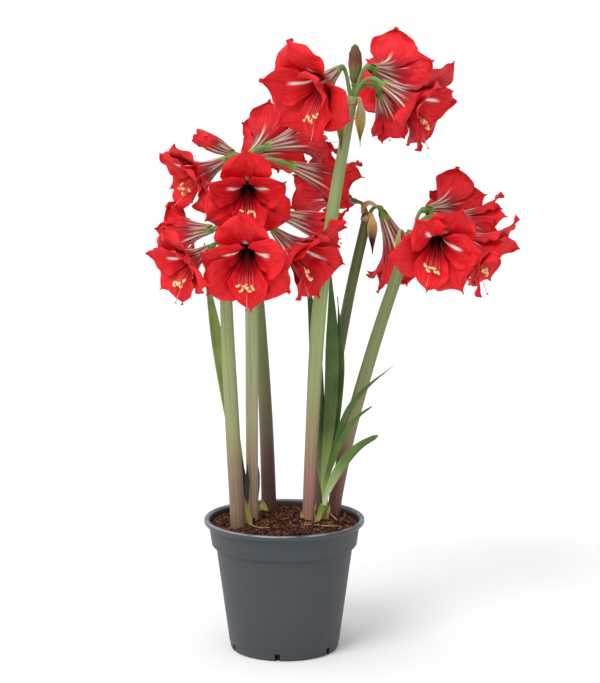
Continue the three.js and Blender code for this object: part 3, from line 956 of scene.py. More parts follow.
@dataclass(frozen=True)
class PlasticFinish:
    """Moulded grey plastic, satin, with faint flow marks and handling scuffs, a painted highlight along the top of the
    lip and painted shade on the inner wall under the rim.
    """

    base: Colour = paint(51, 55, 60)
    shade: Colour = paint(56, 60, 65)
    scuffed: Colour = paint(84, 88, 94)
    # the painted shade colour of the inner wall under the rim
    inside: Colour = paint(22, 24, 27)

    def build(self) -> Material:
        """Builds the material.

        Returns:
            The material.
        """
        graph = Graph("pot_plastic")
        place = graph.place()
        x, y, height = graph.split(place)
        flow = graph.noise(graph.vector(x * 9.0, y * 9.0, height * 2.0), 1.0, 3.0)
        grain = graph.noise(place, 900.0, 2.0)
        scuff = graph.noise(graph.vector(x * 30.0, y * 30.0, height * 120.0), 1.0, 4.0, 0.65)
        colour = graph.blend(flow.between(0.3, 0.7), self.base, self.shade)
        colour = graph.blend(scuff.between(0.64, 0.78) * 0.25, colour, self.scuffed)
        reach = (x * x + y * y) ** 0.5
        lip = height.between(0.158, 0.162) * reach.between(0.092, 0.094)
        # painted highlight: a pale line along the top of the lip, broken up by the scuff noise
        painted_lip_highlight = height.between(0.1638, 0.1652) * scuff.between(0.3, 0.6)
        # painted shade: the inner wall just under the rim turns near black
        painted_inner_shade = height.between(0.15, 0.156) * reach.between(0.0935, 0.0927)
        colour = graph.blend(painted_inner_shade, colour, self.inside)
        colour = graph.blend(painted_lip_highlight * 0.7, colour, paint(150, 154, 160))
        return graph.finish(
            Base_Color=colour,
            Roughness=0.46 + 0.1 * flow + 0.1 * scuff - 0.3 * lip,
            Normal=graph.relief(grain, 0.06, 0.35),
            Specular_IOR_Level=0.5,
        )


@dataclass(frozen=True)
class CoirFinish:
    """Moist coir mix, red-brown with dark crumbs and pale fibres, painted near black low in the pot as the shade seen
    through the drainage slots.
    """

    name: str
    dark: Colour = paint(34, 18, 12)
    mid: Colour = paint(94, 55, 37)
    pale: Colour = paint(158, 108, 76)

    def build(self) -> Material:
        """Builds the material.

        Returns:
            The material.
        """
        graph = Graph(self.name)
        place = graph.place()
        lumps = graph.noise(place, 160.0, 4.0, 0.65)
        grain = graph.noise(place, 700.0, 3.0, 0.6)
        _, _, height = graph.split(place)
        colour = graph.ramp(
            0.55 * lumps + 0.45 * grain, (0.36, self.dark), (0.49, self.mid), (0.56, self.mid), (0.68, self.pale)
        )
        # painted shade: darkening from 12 cm down to near black at 5 cm, where the soil is seen through the slots
        colour = graph.blend(height.between(0.12, 0.05), colour, paint(6, 5, 5))
        return graph.finish(
            Base_Color=colour, Roughness=0.9, Normal=graph.relief(grain, 1.0, 0.8), Specular_IOR_Level=0.25
        )


def built(finish: Any) -> Any:
    """Gives a field that starts as the finish's material."""
    return field(default_factory=finish.build)


GREEN_FLESH = paint(116, 142, 76)


@dataclass
class Finishes:
    """Every material of the object, built once."""

    tepal_inner: Material = built(TepalFinish(Side.INNER))
    tepal_outer: Material = built(TepalFinish(Side.OUTER))
    filament: Material = built(FilamentFinish())
    anther: Material = built(AntherFinish())
    plastic: Material = built(PlasticFinish())
    coir: Material = built(CoirFinish("coir"))
    coir_dark: Material = built(CoirFinish("coir_dark", paint(18, 10, 7), paint(44, 24, 16), paint(74, 44, 30)))
    coir_pale: Material = built(CoirFinish("coir_pale", paint(84, 48, 32), paint(132, 86, 58), paint(184, 134, 96)))
    pedicel: Material = built(StalkFinish("pedicel_flesh", GREEN_FLESH, GREEN_FLESH, GREEN_FLESH))
    leaf: Material = built(LeafFinish("leaf_blade"))
    leaf_light: Material = built(LeafFinish("leaf_light", paint(120, 142, 70), paint(156, 172, 100)))
    # painted shade: a darker copy of the green leaf for leaves in shadow between the stalks
    leaf_deep: Material = built(
        LeafFinish("leaf_deep", paint(34, 48, 24), paint(56, 76, 36), paint(120, 130, 60), pale_to=0.3)
    )
    leaf_blanched: Material = built(
        LeafFinish("leaf_blanched", paint(62, 92, 28), paint(92, 120, 46), paint(190, 206, 150), pale_to=0.6)
    )
    neck: Material = built(PaperFinish("neck_sheath", paint(150, 160, 80), paint(158, 176, 92), paint(120, 150, 66)))
    bract_green: Material = built(
        PaperFinish("bract_green", paint(172, 168, 124), paint(150, 140, 62), paint(100, 92, 40), hem=0.7)
    )
    bract_tan: Material = built(
        PaperFinish("bract_tan", paint(214, 176, 122), paint(190, 146, 90), paint(46, 24, 18), 0.74, hem=0.4)
    )
    papery: Material = built(PaperFinish("papery", paint(190, 142, 92), paint(214, 182, 144), paint(190, 150, 108)))
    sheath: Material = built(PaperFinish("old_sheath", paint(186, 176, 92), paint(204, 186, 120), paint(140, 104, 66)))
    bulb: Material = built(PaperFinish("bulb_skin", paint(150, 112, 74), paint(128, 88, 56), paint(104, 68, 42)))
    bud: Material = built(PaperFinish("bud_skin", paint(120, 112, 66), paint(112, 62, 48), paint(104, 84, 52)))


# ---------------------------------------------------------------- blooms


@dataclass(frozen=True)
class Bloom:
    """One trumpet bloom of six tepals, six stamens and a style."""

    name: str
    scape: str
    base: Point
    face: Point
    length: float
    openness: float
    seed: int
    tuck: dict[int, float] = field(default_factory=dict)

    STEPS = 40
    COLUMNS = 24
    ROWS = 48
    TUBE_RADIUS = 3.4
    THICKNESS = 0.7
    REACH = (9, -4, 3, -10, 4, -5)
    BLAZE = (0.55, 1.0, 0.12, 0.0, 0.12, 1.0)
    LOWEST = 3
    ROOTS = (180, 120, 240, 60, 300, 0, 270)

    def axis(self) -> Vector:
        """Gives the way that the bloom faces."""
        return facing(self.face[0], self.face[1])

    def matrix(self) -> Matrix:
        """Gives the turn and place from the bloom's own frame: z along its axis, y up, x to its left.

        Returns:
            The matrix.
        """
        axis = self.axis()
        up = (UP - axis * axis.z).normalized()
        up = Matrix.Rotation(math.radians(self.face[2]), 3, axis) @ up
        turned = Matrix((up.cross(axis), up, axis)).transposed().to_4x4()
        return Matrix.Translation(self.base) @ turned

    def line(self, k: int) -> list[Point]:
        """Gives the middle line of a tepal.

        Args:
            k: the tepal, counted from the top one.

        Returns:
            Steps of distance from the axis, distance along it, and lean in radians.
        """
        outer = k % 2 == 0
        jitter = 5 * (draw(self.seed, k, Use.LEAN) - 0.5) - self.tuck.get(k, 0.0)
        low = math.radians(12.5 if outer else 11.5)
        high = math.radians(15 + 37 * self.openness + self.REACH[k] * clamp01(self.openness) + jitter)
        curl = math.radians((10 + 26 * self.openness) * (0.6 + 0.8 * draw(self.seed, k, Use.CURL)))
        step = self.length / self.STEPS
        rho, along = self.TUBE_RADIUS + (0.9 if outer else -0.9), 0.0
        made = [(rho, along, low)]
        for i in range(1, self.STEPS + 1):
            t = (i - 0.5) / self.STEPS
            lean = low + (high - low) * smooth(0.22, 0.74, t) + curl * smooth(0.66, 1.0, t)
            rho, along = rho + step * math.sin(lean), along + step * math.cos(lean)
            made.append((rho, along, lean))
        return made

    def surface(self, k: int) -> Callable[[float, float], Vector]:
        """Gives the function that places a tepal's grid.

        Args:
            k: the tepal.

        Returns:
            A function of the share across and along.
        """
        line, outer, seed, length = self.line(k), k % 2 == 0, self.seed, self.length
        broad = (0.37 if outer else 0.3) * (0.9 if k == 3 else 1.0) * length
        hook = 0.09 * (draw(seed, k, Use.HOOK) - 0.35) * length
        curve = (0.4 + 0.9 * draw(seed, k, Use.ROLL)) * clamp01(0.4 + self.openness)
        turn = math.radians(90 + 60 * k)
        out = Vector((math.cos(turn), math.sin(turn), 0.0))
        side = Vector((-math.sin(turn), math.cos(turn), 0.0))
        lift_twist = 0.5 * (draw(seed, k, Use.TWIST) - 0.5)
        lift_sway = 0.12 * (draw(seed, k, Use.SWAY) - 0.5)
        salt = seed * 7.3 + k * 3.1

        def place(across: float, along: float) -> Vector:
            """Gives a point of the tepal; across runs from right to left so that its front looks inwards.

            Args:
                across: the share across, from -1 to 1.
                along: the share along, from 0 to 1.

            Returns:
                The point.
            """
            v, t = -across, 0.004 + 0.996 * along
            at = t * self.STEPS
            low = min(self.STEPS - 1, int(at))
            share = at - low
            rho, z, lean = (a + (b - a) * share for a, b in zip(line[low], line[low + 1]))
            blade = min(1.0, t / 0.965)
            width = (blade / 0.58) ** 1.15 * ((1.0 - blade) / 0.42) ** 0.83
            hem_salt = salt + (3.0 if v > 0 else 0.0)
            ragged = 1.0 + 0.11 * smooth(0.45, 0.9, t) * noise.noise(Vector((t * 9.0, hem_salt, 0.0)))
            ragged += 0.06 * smooth(0.4, 0.7, t) * noise.noise(Vector((t * 27.0, hem_salt, 5.0)))
            limit = rho * (1.06 if outer else 0.74 + 0.26 * smooth(0.2, 0.45, t))
            spur = 0.018 * length * math.sqrt(max(0.0, 1.0 - t) / 0.06)
            half = max(min(broad * width * ragged, limit), min(spur, limit) if t > 0.8 else 0.0)
            s = v * half
            bend = math.cos(lean) / rho
            if abs(bend * s) < 1e-6:
                around, inward = s, 0.0
            else:
                around, inward = math.sin(bend * s) / bend, (1.0 - math.cos(bend * s)) / bend
            free = smooth(0.5, 0.9, t)
            phase = 2 * math.pi * draw(seed, k, Use.LEFT_WAVE if v < 0 else Use.RIGHT_WAVE)
            ruffle = 2 * math.pi * draw(seed, k, Use.LEFT_RUFFLE if v < 0 else Use.RIGHT_RUFFLE)
            wave = 0.038 * length * free * abs(v) ** 1.6 * math.sin(2 * math.pi * 2.1 * t + phase)
            wave += 0.023 * length * smooth(0.4, 0.7, t) * abs(v) ** 3 * math.sin(2 * math.pi * 5.7 * t + ruffle)
            wave += hook * smooth(0.88, 1.0, t)
            roll = -(0.09 if outer else 0.02) * length * free * v * v * curve
            apart = (-0.45 if outer else 0.45) * smooth(0.22, 0.45, t)
            groove = -0.011 * length * math.exp(-((v / 0.13) ** 2)) * smooth(0.16, 0.4, t) * smooth(1.0, 0.8, t)
            crumple = 0.02 * length * smooth(0.35, 0.7, t) * noise.noise(Vector((v * 2.2, t * 5.5, salt)))
            crumple += 0.012 * length * smooth(0.3, 0.6, t) * noise.noise(Vector((v * 6.5, t * 3.0, salt + 9.0)))
            lift = inward + wave + roll + apart + groove + crumple + s * math.sin(lift_twist * smooth(0.4, 1.0, t))
            sway = lift_sway * length * smooth(0.3, 1.0, t) * t
            inner = out * -math.cos(lean) + UP * math.sin(lean)
            return out * rho + UP * z + side * (around + sway) + inner * lift

        return place

    def tepals(self, finishes: Finishes) -> Piece:
        """Builds the six tepals as one piece.

        Args:
            finishes: the materials.

        Returns:
            The piece.
        """
        mesh = new_mesh()
        tone = mesh.verts.layers.float.new("tone")
        blaze = mesh.verts.layers.float.new("blaze")
        for k in range(6):
            for vert in patch(mesh, self.COLUMNS, self.ROWS, self.surface(k)):
                vert[tone] = draw(self.seed, k, Use.TONE)
                vert[blaze] = self.BLAZE[k] * (0.8 + 0.2 * draw(self.seed, k, Use.BLAZE))
        bmesh.ops.transform(mesh, matrix=self.matrix(), verts=mesh.verts)
        made = close_mesh(mesh, f"tepals_{self.name}", (finishes.tepal_inner, finishes.tepal_outer), recalculate=False)
        thicken(made, self.THICKNESS, two_faced=True)
        return made

    def stamens(self, finishes: Finishes) -> Piece:
        """Builds the stamens and the style, which lie along the lowest tepal and turn up at the end.

        Args:
            finishes: the materials.

        Returns:
            The piece.
        """
        line = self.line(self.LOWEST)

        def over(t: float, aside: float, inset: float) -> Vector:
            """Gives a point above the lowest tepal."""
            rho, z, lean = line[round(t * self.STEPS)]
            return Vector((aside, inset * math.cos(lean) - rho, z + inset * math.sin(lean)))

        mesh = new_mesh()
        anthers: list[tuple[Vector, Vector, int]] = []
        for i, root in enumerate(self.ROOTS):
            style, chance = i == 6, draw(self.seed, i, Use.ASIDE) - 0.5
            aside = 3 * chance if style else 3.6 * (i - 2.5) + 2 * chance
            reach = 0.22 if style else 0.1 * (draw(self.seed, i, Use.REACH) - 0.5)
            low = 4.4 if style else 7.6 if root in (60, 120) else 6.2
            spread = 0.5 if style else 2.7
            turn = math.radians(root)
            path = Path(
                (
                    Vector((spread * math.cos(turn), spread * math.sin(turn), 10.0)),
                    over(0.36, aside * 0.3, low),
                    over(0.54, aside * 0.8, low + 0.6),
                    over(0.74 + reach, aside, low + (7 if style else 5)),
                )
            )
            spine = path.spaced(18)
            thick = 0.7 if style else 0.5
            tube(mesh, spine, lambda along, _, thick=thick: thick * (1.0 - 0.35 * along), 6)
            tip, way = spine[-1], (spine[-1] - spine[-3]).normalized()
            if style:
                self.stigma(mesh, tip, way)
            else:
                anthers.append((tip, way, i))
        fleshy = len(mesh.faces)
        for tip, way, i in anthers:
            self.anther(mesh, tip, way, i)
        use_second_slot(mesh, fleshy)
        bmesh.ops.transform(mesh, matrix=self.matrix(), verts=mesh.verts)
        return close_mesh(mesh, f"stamens_{self.name}", (finishes.filament, finishes.anther))

    def anther(self, mesh: BMesh, tip: Vector, way: Vector, i: int) -> None:
        """Adds a curved anther that is balanced on its filament.

        Args:
            mesh: the mesh that gains it.
            tip: the filament's end.
            way: the filament's direction there.
            i: which stamen.
        """
        yaw = math.radians(360 * draw(self.seed, i, Use.YAW))
        side = way.orthogonal().normalized()
        tilt = 1.8 * draw(self.seed, i, Use.TILT) - 0.9
        side = (Matrix.Rotation(yaw, 3, way) @ side + way * tilt).normalized()
        half = 2.9 + 0.8 * draw(self.seed, i, Use.SIZE)
        spine = [
            tip + side * (half * x) + way * (0.9 - 2.1 * x * x)
            for x in (-1.0, -0.72, -0.4, 0.0, 0.4, 0.72, 1.0)
        ]

        def radius(along: float, turn: float) -> float:
            """Gives the anther's radius, with its two lobes."""
            swell = 0.3 + 0.7 * math.sin(math.pi * clamp01(along)) ** 0.6
            return 1.5 * swell * (1 - 0.14 * math.cos(2 * turn))

        tube(mesh, spine, radius, 8)

    def stigma(self, mesh: BMesh, tip: Vector, way: Vector) -> None:
        """Adds the three short lobes at the style's end.

        Args:
            mesh: the mesh that gains them.
            tip: the style's end.
            way: the style's direction there.
        """
        side = way.orthogonal().normalized()
        for lobe in range(3):
            out = Matrix.Rotation(math.radians(120 * lobe), 3, way) @ side
            spine = [tip - way * 0.4, tip + way * 1.0 + out * 0.7, tip + way * 1.5 + out * 1.9]
            tube(mesh, spine, lambda along, _: 0.6 - 0.2 * along, 6)

    def build(self, finishes: Finishes) -> None:
        """Args:
            finishes: the materials.
        """
        declare(self.tepals(finishes), "tepal_red", f"bloom_{self.name}")
        if self.openness > 0:
            declare(self.stamens(finishes), "tepal_red")


BLOOMS = (
    Bloom("A1", "A", (-42, -46, 516), (-2, -20, 0), 102, 1, 1, {4: 9, 2: 14, 5: 4}),
    Bloom("A2", "A", (-87.5, -53, 509.5), (-46, -24, 6), 82, 0.95, 2, {3: 6, 4: 12, 5: 6}),
    Bloom("A3", "A", (-84, -24, 529), (-124, -9, -8), 75, 0.53, 3, {0: 12, 5: 4, 1: 4}),
    Bloom("B1", "B", (-14, -21, 528), (49, -31, -28), 103, 0.95, 4, {1: 2, 2: 10, 3: 20, 4: 28, 5: 8}),
    Bloom("B2", "B", (-43, -12, 584), (0, -14, 0), 96, 0.9, 5, {3: 10}),
    Bloom("B3", "B", (-8, 25, 543), (93, -18, 0), 88, 0.02, 6),
    Bloom("C1", "C", (-69, 24, 610), (-61, -25, -20), 90, 0.9, 7, {3: 18, 4: 4}),
    Bloom("C2", "C", (-62, 50, 614), (-100, 24, 0), 56, -0.45, 8),
    Bloom("C3", "C", (-26, 66, 621), (91, 14, 0), 98, 0.85, 9, {3: 24, 2: 12}),
    Bloom("C4", "C", (4, 42, 602), (102, -21, 0), 95, 0.36, 10, {0: 10, 3: 14, 2: 10, 1: 8, 5: 6}),
    Bloom("C5", "C", (-44, 78, 610), (152, 14, 0), 88, 0.85, 11),
    Bloom("D1", "D", (66, -14, 720), (-34, -25, 6), 110, 1, 12, {4: 16, 5: 18}),
    Bloom("D2", "D", (104, 8, 721), (150, -13, 0), 100, 1, 13),
    Bloom("D3", "D", (114, -10, 705), (64, -27, -14), 104, 0.9, 14, {3: 10, 4: 2}),
    Bloom("D4", "D", (115, 12, 692), (150, -53, 0), 66, 0.15, 15),
    Bloom("E1", "E", (121, 62, 543), (116, -64, 0), 106, 0.65, 16),
    Bloom("E2", "E", (84, 84, 554), (-145, 9, 0), 91, 0.56, 17, {2: 8, 3: 6, 1: 6}),
    Bloom("F1", "F", (184, -12, 524), (0, -16, -24), 98, 0.92, 18),
    Bloom("F2", "F", (174, 28, 547), (140, -4, 0), 88, 0.8, 19, {2: 12, 3: 6}),
    Bloom("F3", "F", (196, 0, 530), (65, -32.5, -6), 99, 0.9, 20, {0: 5, 1: 9, 2: 10, 3: 4}),
    Bloom("F4", "F", (198, 26, 538), (93, -6, 0), 76, 0.35, 21),
)


@dataclass(frozen=True)
class Bud:
    """The small unopened bud at the top of an umbel."""

    scape: str = "D"
    base: Point = (85, 7, 703)
    length: float = 46
    radius: float = 8.8

    ROWS = 28

    def build(self, finishes: Finishes) -> None:
        """Builds the bud as three tepals folded round each other.

        Args:
            finishes: the materials.
        """
        mesh = new_mesh()
        foot = Vector(self.base)
        shares = [i / self.ROWS for i in range(self.ROWS + 1)]
        spine = [foot + Vector((1.2 * math.sin(2.2 * s), -0.8 * s, self.length * s)) for s in shares]
        stops = ((0.0, 0.45), (0.14, 0.7), (0.48, 1.0), (0.74, 0.9), (0.92, 0.56), (1.0, 0.16))

        def radius(along: float, turn: float) -> float:
            """Gives the bud's radius, with three soft folds."""
            fold = 1.0 - 0.13 * smooth(0.1, 0.4, along) * abs(math.sin(1.5 * turn + 1.4 * along)) ** 3
            return self.radius * shaped(stops, along) * fold

        tube(mesh, spine, radius, 36)
        declare(close_mesh(mesh, "closed_bud", (finishes.bud,)), "bud_skin", "bud")


# ---------------------------------------------------------------- scapes and bracts


@dataclass(frozen=True)
class Scape:
    """A flower stalk, with the pedicels that carry its umbel."""

    name: str
    points: tuple[Point, ...]
    radii: Point
    top: Colour
    middle: Colour
    foot: Colour

    OVARY = 7.0
    BUD_OVARY = 1.0
    ARCH = 24
    STRETCHES = 90
    SIDES = 28

    def path(self) -> Path:
        """Gives the stalk's middle line, from the bulb's nose to the umbel."""
        first = self.points[0]
        return Path.through((first[0], first[1], NOSE), *self.points)

    def radius_at(self, along: float, turn: float) -> float:
        """Gives the stalk's radius, slightly ribbed and oval.

        Args:
            along: the share along, from 0 to 1.
            turn: the turn round the middle, in radians.

        Returns:
            The radius in millimetres.
        """
        low, middle, high = self.radii
        base = low + (middle - low) * 2 * along if along < 0.5 else middle + (high - middle) * (2 * along - 1)
        ribs = 0.985 + 0.03 * math.cos(2 * turn + 0.7) + 0.003 * math.cos(9 * turn)
        return base * (ribs + 0.1 * smooth(0.972, 0.99, along))

    def pedicel(self, mesh: BMesh, base: Vector, way: Vector, length: float) -> None:
        """Adds the arching stem of one bloom, with the ovary at its end.

        Args:
            mesh: the mesh that gains it.
            base: the bloom's foot.
            way: the bloom's axis.
            length: how far the ovary's tip reaches into the bloom.
        """
        top = Vector(self.points[-1])
        end = base - way * 0.35
        away = (end - top) * Vector((1.0, 1.0, 0.0))
        away.normalize()
        stretch = (end - top).length
        knots = (
            top + away * 1.5 - UP * 5.0,
            top + away * (0.22 * stretch) + UP * (0.45 * stretch),
            end - way * (0.5 * stretch),
            end,
        )
        spine = []
        for i in range(self.ARCH + 1):
            s = i / self.ARCH
            q = 1.0 - s
            spine.append(knots[0] * q**3 + knots[1] * (3 * q * q * s) + knots[2] * (3 * q * s * s) + knots[3] * s**3)
        spine += [end + way * (length * (i + 1) / 4) for i in range(4)]
        stops = ((0.0, 2.7), (0.4, 2.3), (0.62, 2.5), (0.76, 4.0), (0.86, 3.6), (1.0, 3.8))
        tube(
            mesh,
            spine,
            lambda along, turn: shaped(stops, along) * (1.0 + 0.07 * smooth(0.6, 0.75, along) * math.cos(3 * turn)),
            14,
        )

    def build(self, finishes: Finishes) -> None:
        """Builds the stalk with its pedicels.

        Args:
            finishes: the materials.
        """
        mesh = new_mesh()
        tube(mesh, self.path().spaced(self.STRETCHES), self.radius_at, self.SIDES, level=True)
        stem_faces = len(mesh.faces)
        for bloom in BLOOMS:
            if bloom.scape == self.name:
                self.pedicel(mesh, Vector(bloom.base), bloom.axis(), self.OVARY)
        if self.name == Bud.scape:
            self.pedicel(mesh, Vector(Bud.base), UP, self.BUD_OVARY)
        use_second_slot(mesh, stem_faces)
        skin = StalkFinish(f"stalk_flesh_{self.name}", self.top, self.middle, self.foot).build()
        made = close_mesh(mesh, f"stalk_{self.name}", (skin, finishes.pedicel))
        declare(made, "scape_flesh", f"scape_{self.name}")


SCAPES = (
    Scape(
        "A", ((-57, -30, 162), (-62, -37, 270), (-68, -39, 400), (-72, -38, 512)),
        (9.2, 8.6, 7), paint(142, 150, 100), paint(138, 138, 94), paint(131, 103, 85),
    ),
    Scape(
        "B", ((-40, 0, 162), (-40, -3, 290), (-40, -2, 400), (-42, 3, 533)),
        (7.4, 7.6, 7.6), paint(160, 174, 122), paint(162, 156, 122), paint(166, 136, 116),
    ),
    Scape(
        "C", ((-20, 58, 162), (-24, 50, 290), (-31, 44, 410), (-46, 44, 590)),
        (9.8, 7.8, 6.6), paint(122, 136, 86), paint(106, 98, 74), paint(94, 62, 56),
    ),
    Scape(
        "D", ((30, 5, 162), (34, -1, 265), (43, -13, 428), (60, -9, 553), (83, -4, 687)),
        (7.4, 9, 6), paint(146, 164, 106), paint(144, 138, 98), paint(158, 114, 102),
    ),
    Scape(
        "E", ((42, 47, 162), (53, 38, 270), (80, 46, 432), (104, 54, 540)),
        # E's dark olive top is partly its own tone and partly painted shade
        (7.4, 6.8, 6.2), paint(92, 98, 56), paint(120, 118, 88), paint(128, 98, 96),
    ),
    Scape(
        "F", ((62, 38, 162), (80, 30, 262), (106, 22, 361), (129, 17, 437), (158, 12, 522)),
        (8.4, 8.2, 6.8), paint(118, 130, 80), paint(138, 128, 92), paint(136, 90, 86),
    ),
)


def scape_named(name: str) -> Scape:
    """Finds a scape by its letter."""
    return next(scape for scape in SCAPES if scape.name == name)


def strip(
    mesh: BMesh,
    spine: Sequence[Vector],
    columns: int,
    half_at: Callable[[float], float],
    face_at: Callable[[float], Vector],
    rise_at: Callable[[float, float], float],
) -> None:
    """Lays a grid along a spine as a blade.

    Args:
        mesh: the mesh that gains the blade.
        spine: evenly spaced points along its middle.
        columns: stretches across.
        half_at: gives the half width for a share along.
        face_at: gives the way that its upper face looks.
        rise_at: gives how far it rises above the spine for a share across and along.
    """
    rows = len(spine) - 1
    ways = tangents(spine)
    ways[0] = UP.copy()

    def place(across: float, along: float) -> Vector:
        """Gives a point of the blade.

        Args:
            across: the share across, from -1 to 1.
            along: the share along, from 0 to 1.

        Returns:
            The point.
        """
        row = round(along * rows)
        way, face = ways[row], face_at(along)
        normal = (face - way * face.dot(way)).normalized()
        side = way.cross(normal)
        return spine[row] + side * (across * half_at(along)) + normal * rise_at(across, along)

    patch(mesh, columns, rows, place)


class Dryness(Enum):
    """How far a bract has withered."""

    GREEN = "green"
    TAN = "tan"


@dataclass(frozen=True)
class Bract:
    """A withered bract that hangs under an umbel."""

    name: str
    scape: str
    azimuth: float
    turned: float
    rise: float
    out: float
    hang: float
    half: float
    dryness: Dryness

    THICKNESS = 0.6
    COLUMNS = 10
    STRETCHES = 40

    def build(self, finishes: Finishes) -> None:
        """Builds the bract as one papery sheet.

        Args:
            finishes: the materials.
        """
        stalk = scape_named(self.scape)
        outward = facing(self.azimuth, 0)
        joint = stalk.path().at(0.985) + outward * stalk.radii[2]

        def at(aside: float, up: float) -> Vector:
            """Gives a point beside the stalk's top."""
            return joint + outward * aside + UP * up

        path = Path(
            (
                at(0.9, 0),
                at(1.2 + 0.35 * self.out, 0.8 * self.rise),
                at(1.2 + 0.75 * self.out, self.rise),
                at(1.2 + self.out, 0.4 * self.rise),
                at(1.2 + 1.15 * self.out, -self.hang),
            )
        )
        salt = self.azimuth * 0.1 + self.hang

        def rise_at(across: float, along: float) -> float:
            """Folds the bract along its middle and crumples it.

            Args:
                across: the share across, from -1 to 1.
                along: the share along, from 0 to 1.

            Returns:
                Millimetres above the spine.
            """
            fold = 0.22 * self.half * (math.sqrt(across * across + 0.02) - 0.5)
            crumple = 1.6 * smooth(0.1, 0.5, along) * noise.noise(Vector((across * 1.5, along * 5.0, salt)))
            curl = 2.2 * smooth(0.5, 1.0, along) * across * math.sin(5.0 * along + salt)
            return fold + crumple + curl

        mesh = new_mesh()
        strip(
            mesh,
            path.spaced(self.STRETCHES),
            self.COLUMNS,
            lambda s: self.half * max(0.05, 0.3 + 0.7 * smooth(0.2, 0.45, s) - 0.96 * smooth(0.5, 1, s)),
            lambda s: facing(
                self.azimuth + (self.turned - self.azimuth) * smooth(0.25, 0.7, s), 180 * (1 - smooth(0, 0.45, s))
            ),
            rise_at,
        )
        dry = finishes.bract_tan if self.dryness is Dryness.TAN else finishes.bract_green
        sheet(mesh, f"dry_{self.name}", dry, self.THICKNESS, "bract_paper", self.name)


BRACTS = (
    Bract("bract_A", "A", 150, 120, 6, 8, 34, 4.5, Dryness.TAN),
    Bract("bract_B", "B", 160, 130, 6, 8, 34, 4.5, Dryness.TAN),
    Bract("bract_C", "C", 150, 120, 6, 8, 36, 4.5, Dryness.TAN),
    Bract("bract_D_left", "D", -50, -15, 9, 8, 54, 7.4, Dryness.GREEN),
    Bract("bract_D_right", "D", 40, 15, 9, 8, 50, 7.6, Dryness.GREEN),
    Bract("bract_E", "E", 20, 6, 8, 10, 42, 6.5, Dryness.TAN),
    Bract("bract_F", "F", -70, -30, 9, 8, 30, 5, Dryness.GREEN),
)


@dataclass(frozen=True)
class Collar:
    """The torn papery ring that the bracts leave round the top of a scape."""

    scape: str
    height: float

    SIDES = 40
    ROWS = 5

    def build(self, finishes: Finishes) -> None:
        """Builds the ring as a thin frill that stands off the stalk.

        Args:
            finishes: the materials.
        """
        stalk = scape_named(self.scape)
        path, top = stalk.path(), 0.99
        middle = path.at(top)
        way = (middle - path.at(top - 0.01)).normalized()
        side = way.cross(UP.cross(way).normalized()).normalized()
        other = way.cross(side)
        salt = middle.x * 0.1

        def place(across: float, along: float) -> Vector:
            """Gives a point of the ring, from its foot to its frayed edge.

            Args:
                across: the share across, from -1 to 1.
                along: the share along, from 0 to 1.

            Returns:
                The point.
            """
            turn = math.pi * across
            edge = 1.0 + 0.35 * math.sin(3 * turn + salt) + 0.2 * math.sin(7 * turn + 2 * salt)
            radius = stalk.radii[2] * (1.12 + 0.05 * along * math.sin(5 * turn)) + 0.5
            rise = way * (self.height * (edge * along - 0.9))
            return middle + rise + (side * math.cos(turn) + other * math.sin(turn)) * radius

        mesh = new_mesh()
        patch(mesh, self.SIDES, self.ROWS, place)
        bmesh.ops.remove_doubles(mesh, verts=mesh.verts, dist=1e-5)
        sheet(mesh, f"frill_{self.scape}", finishes.papery, TORN_THICKNESS, "bract_paper")


COLLARS = (Collar("A", 2.6), Collar("B", 2.4), Collar("C", 2.6), Collar("D", 3.0), Collar("E", 6.5), Collar("F", 3.0))


@dataclass(frozen=True)
class PaperyCap:
    """The torn papery cap that arches over the pedicels of an umbel."""

    scape: str = "E"
    half: float = 4.2
    knots: tuple[Point, ...] = (
        (-8.4, -4.0, 1.0),
        (-6.5, -4.5, 9.0),
        (1.5, -3.0, 14.5),
        (8.5, -4.5, 12.0),
        (12.5, -6.0, 7.0),
    )

    COLUMNS = 8
    STRETCHES = 30

    def build(self, finishes: Finishes) -> None:
        """Lays the cap as one torn sheet.

        Args:
            finishes: the materials.
        """
        top = Vector(scape_named(self.scape).points[-1])
        mesh = new_mesh()
        strip(
            mesh,
            Path.through(*[tuple(top + Vector(knot)) for knot in self.knots]).spaced(self.STRETCHES),
            self.COLUMNS,
            lambda s: self.half * max(0.1, 0.5 + 0.5 * smooth(0, 0.3, s) - 0.85 * smooth(0.6, 1, s)),
            lambda s: Vector((-0.5 + s, -0.55, 0.7)),
            lambda across, along: -1.2 * across * across + 0.5 * math.sin(11 * along + 3 * across),
        )
        sheet(mesh, "papery_cap", finishes.papery, TORN_THICKNESS, "bract_paper")


# ---------------------------------------------------------------- necks and leaves


@dataclass(frozen=True)
class Neck:
    """The green stub of leaf bases on a bulb; its torn outer sheath is laid with the soil's roots."""

    name: str
    foot: tuple[float, float]
    top: Point
    radius: float

    SIDES = 26
    STRETCHES = 36

    def build(self, finishes: Finishes) -> None:
        """Builds the stub; its sheath remnants are laid with the soil's roots.

        Args:
            finishes: the materials.
        """
        mesh = new_mesh()
        path = Path.through((*self.foot, NOSE), (*self.foot, SOIL_TOP), self.top)

        def radius(along: float, turn: float) -> float:
            """Gives the stub's radius, layered and a little creased."""
            crease = 1.0 - 0.06 * abs(math.sin(2.5 * turn + 3 * along)) ** 4
            return self.radius * crease * (1.0 - 0.06 * smooth(0.8, 1.0, along))

        tube(mesh, path.spaced(self.STRETCHES), radius, self.SIDES, level=True)
        declare(close_mesh(mesh, f"stub_{self.name}", (finishes.neck,)), "neck_sheath", self.name)


NECKS = {
    "left": Neck("neck_left", (-47, -14), (-47, -15, 172), 4.4),
    "back": Neck("neck_back", (-34, 46), (-35, 46, 172), 3.6),
    "right": Neck("neck_right", (44, 8), (50.5, 5, 180), 6),
}


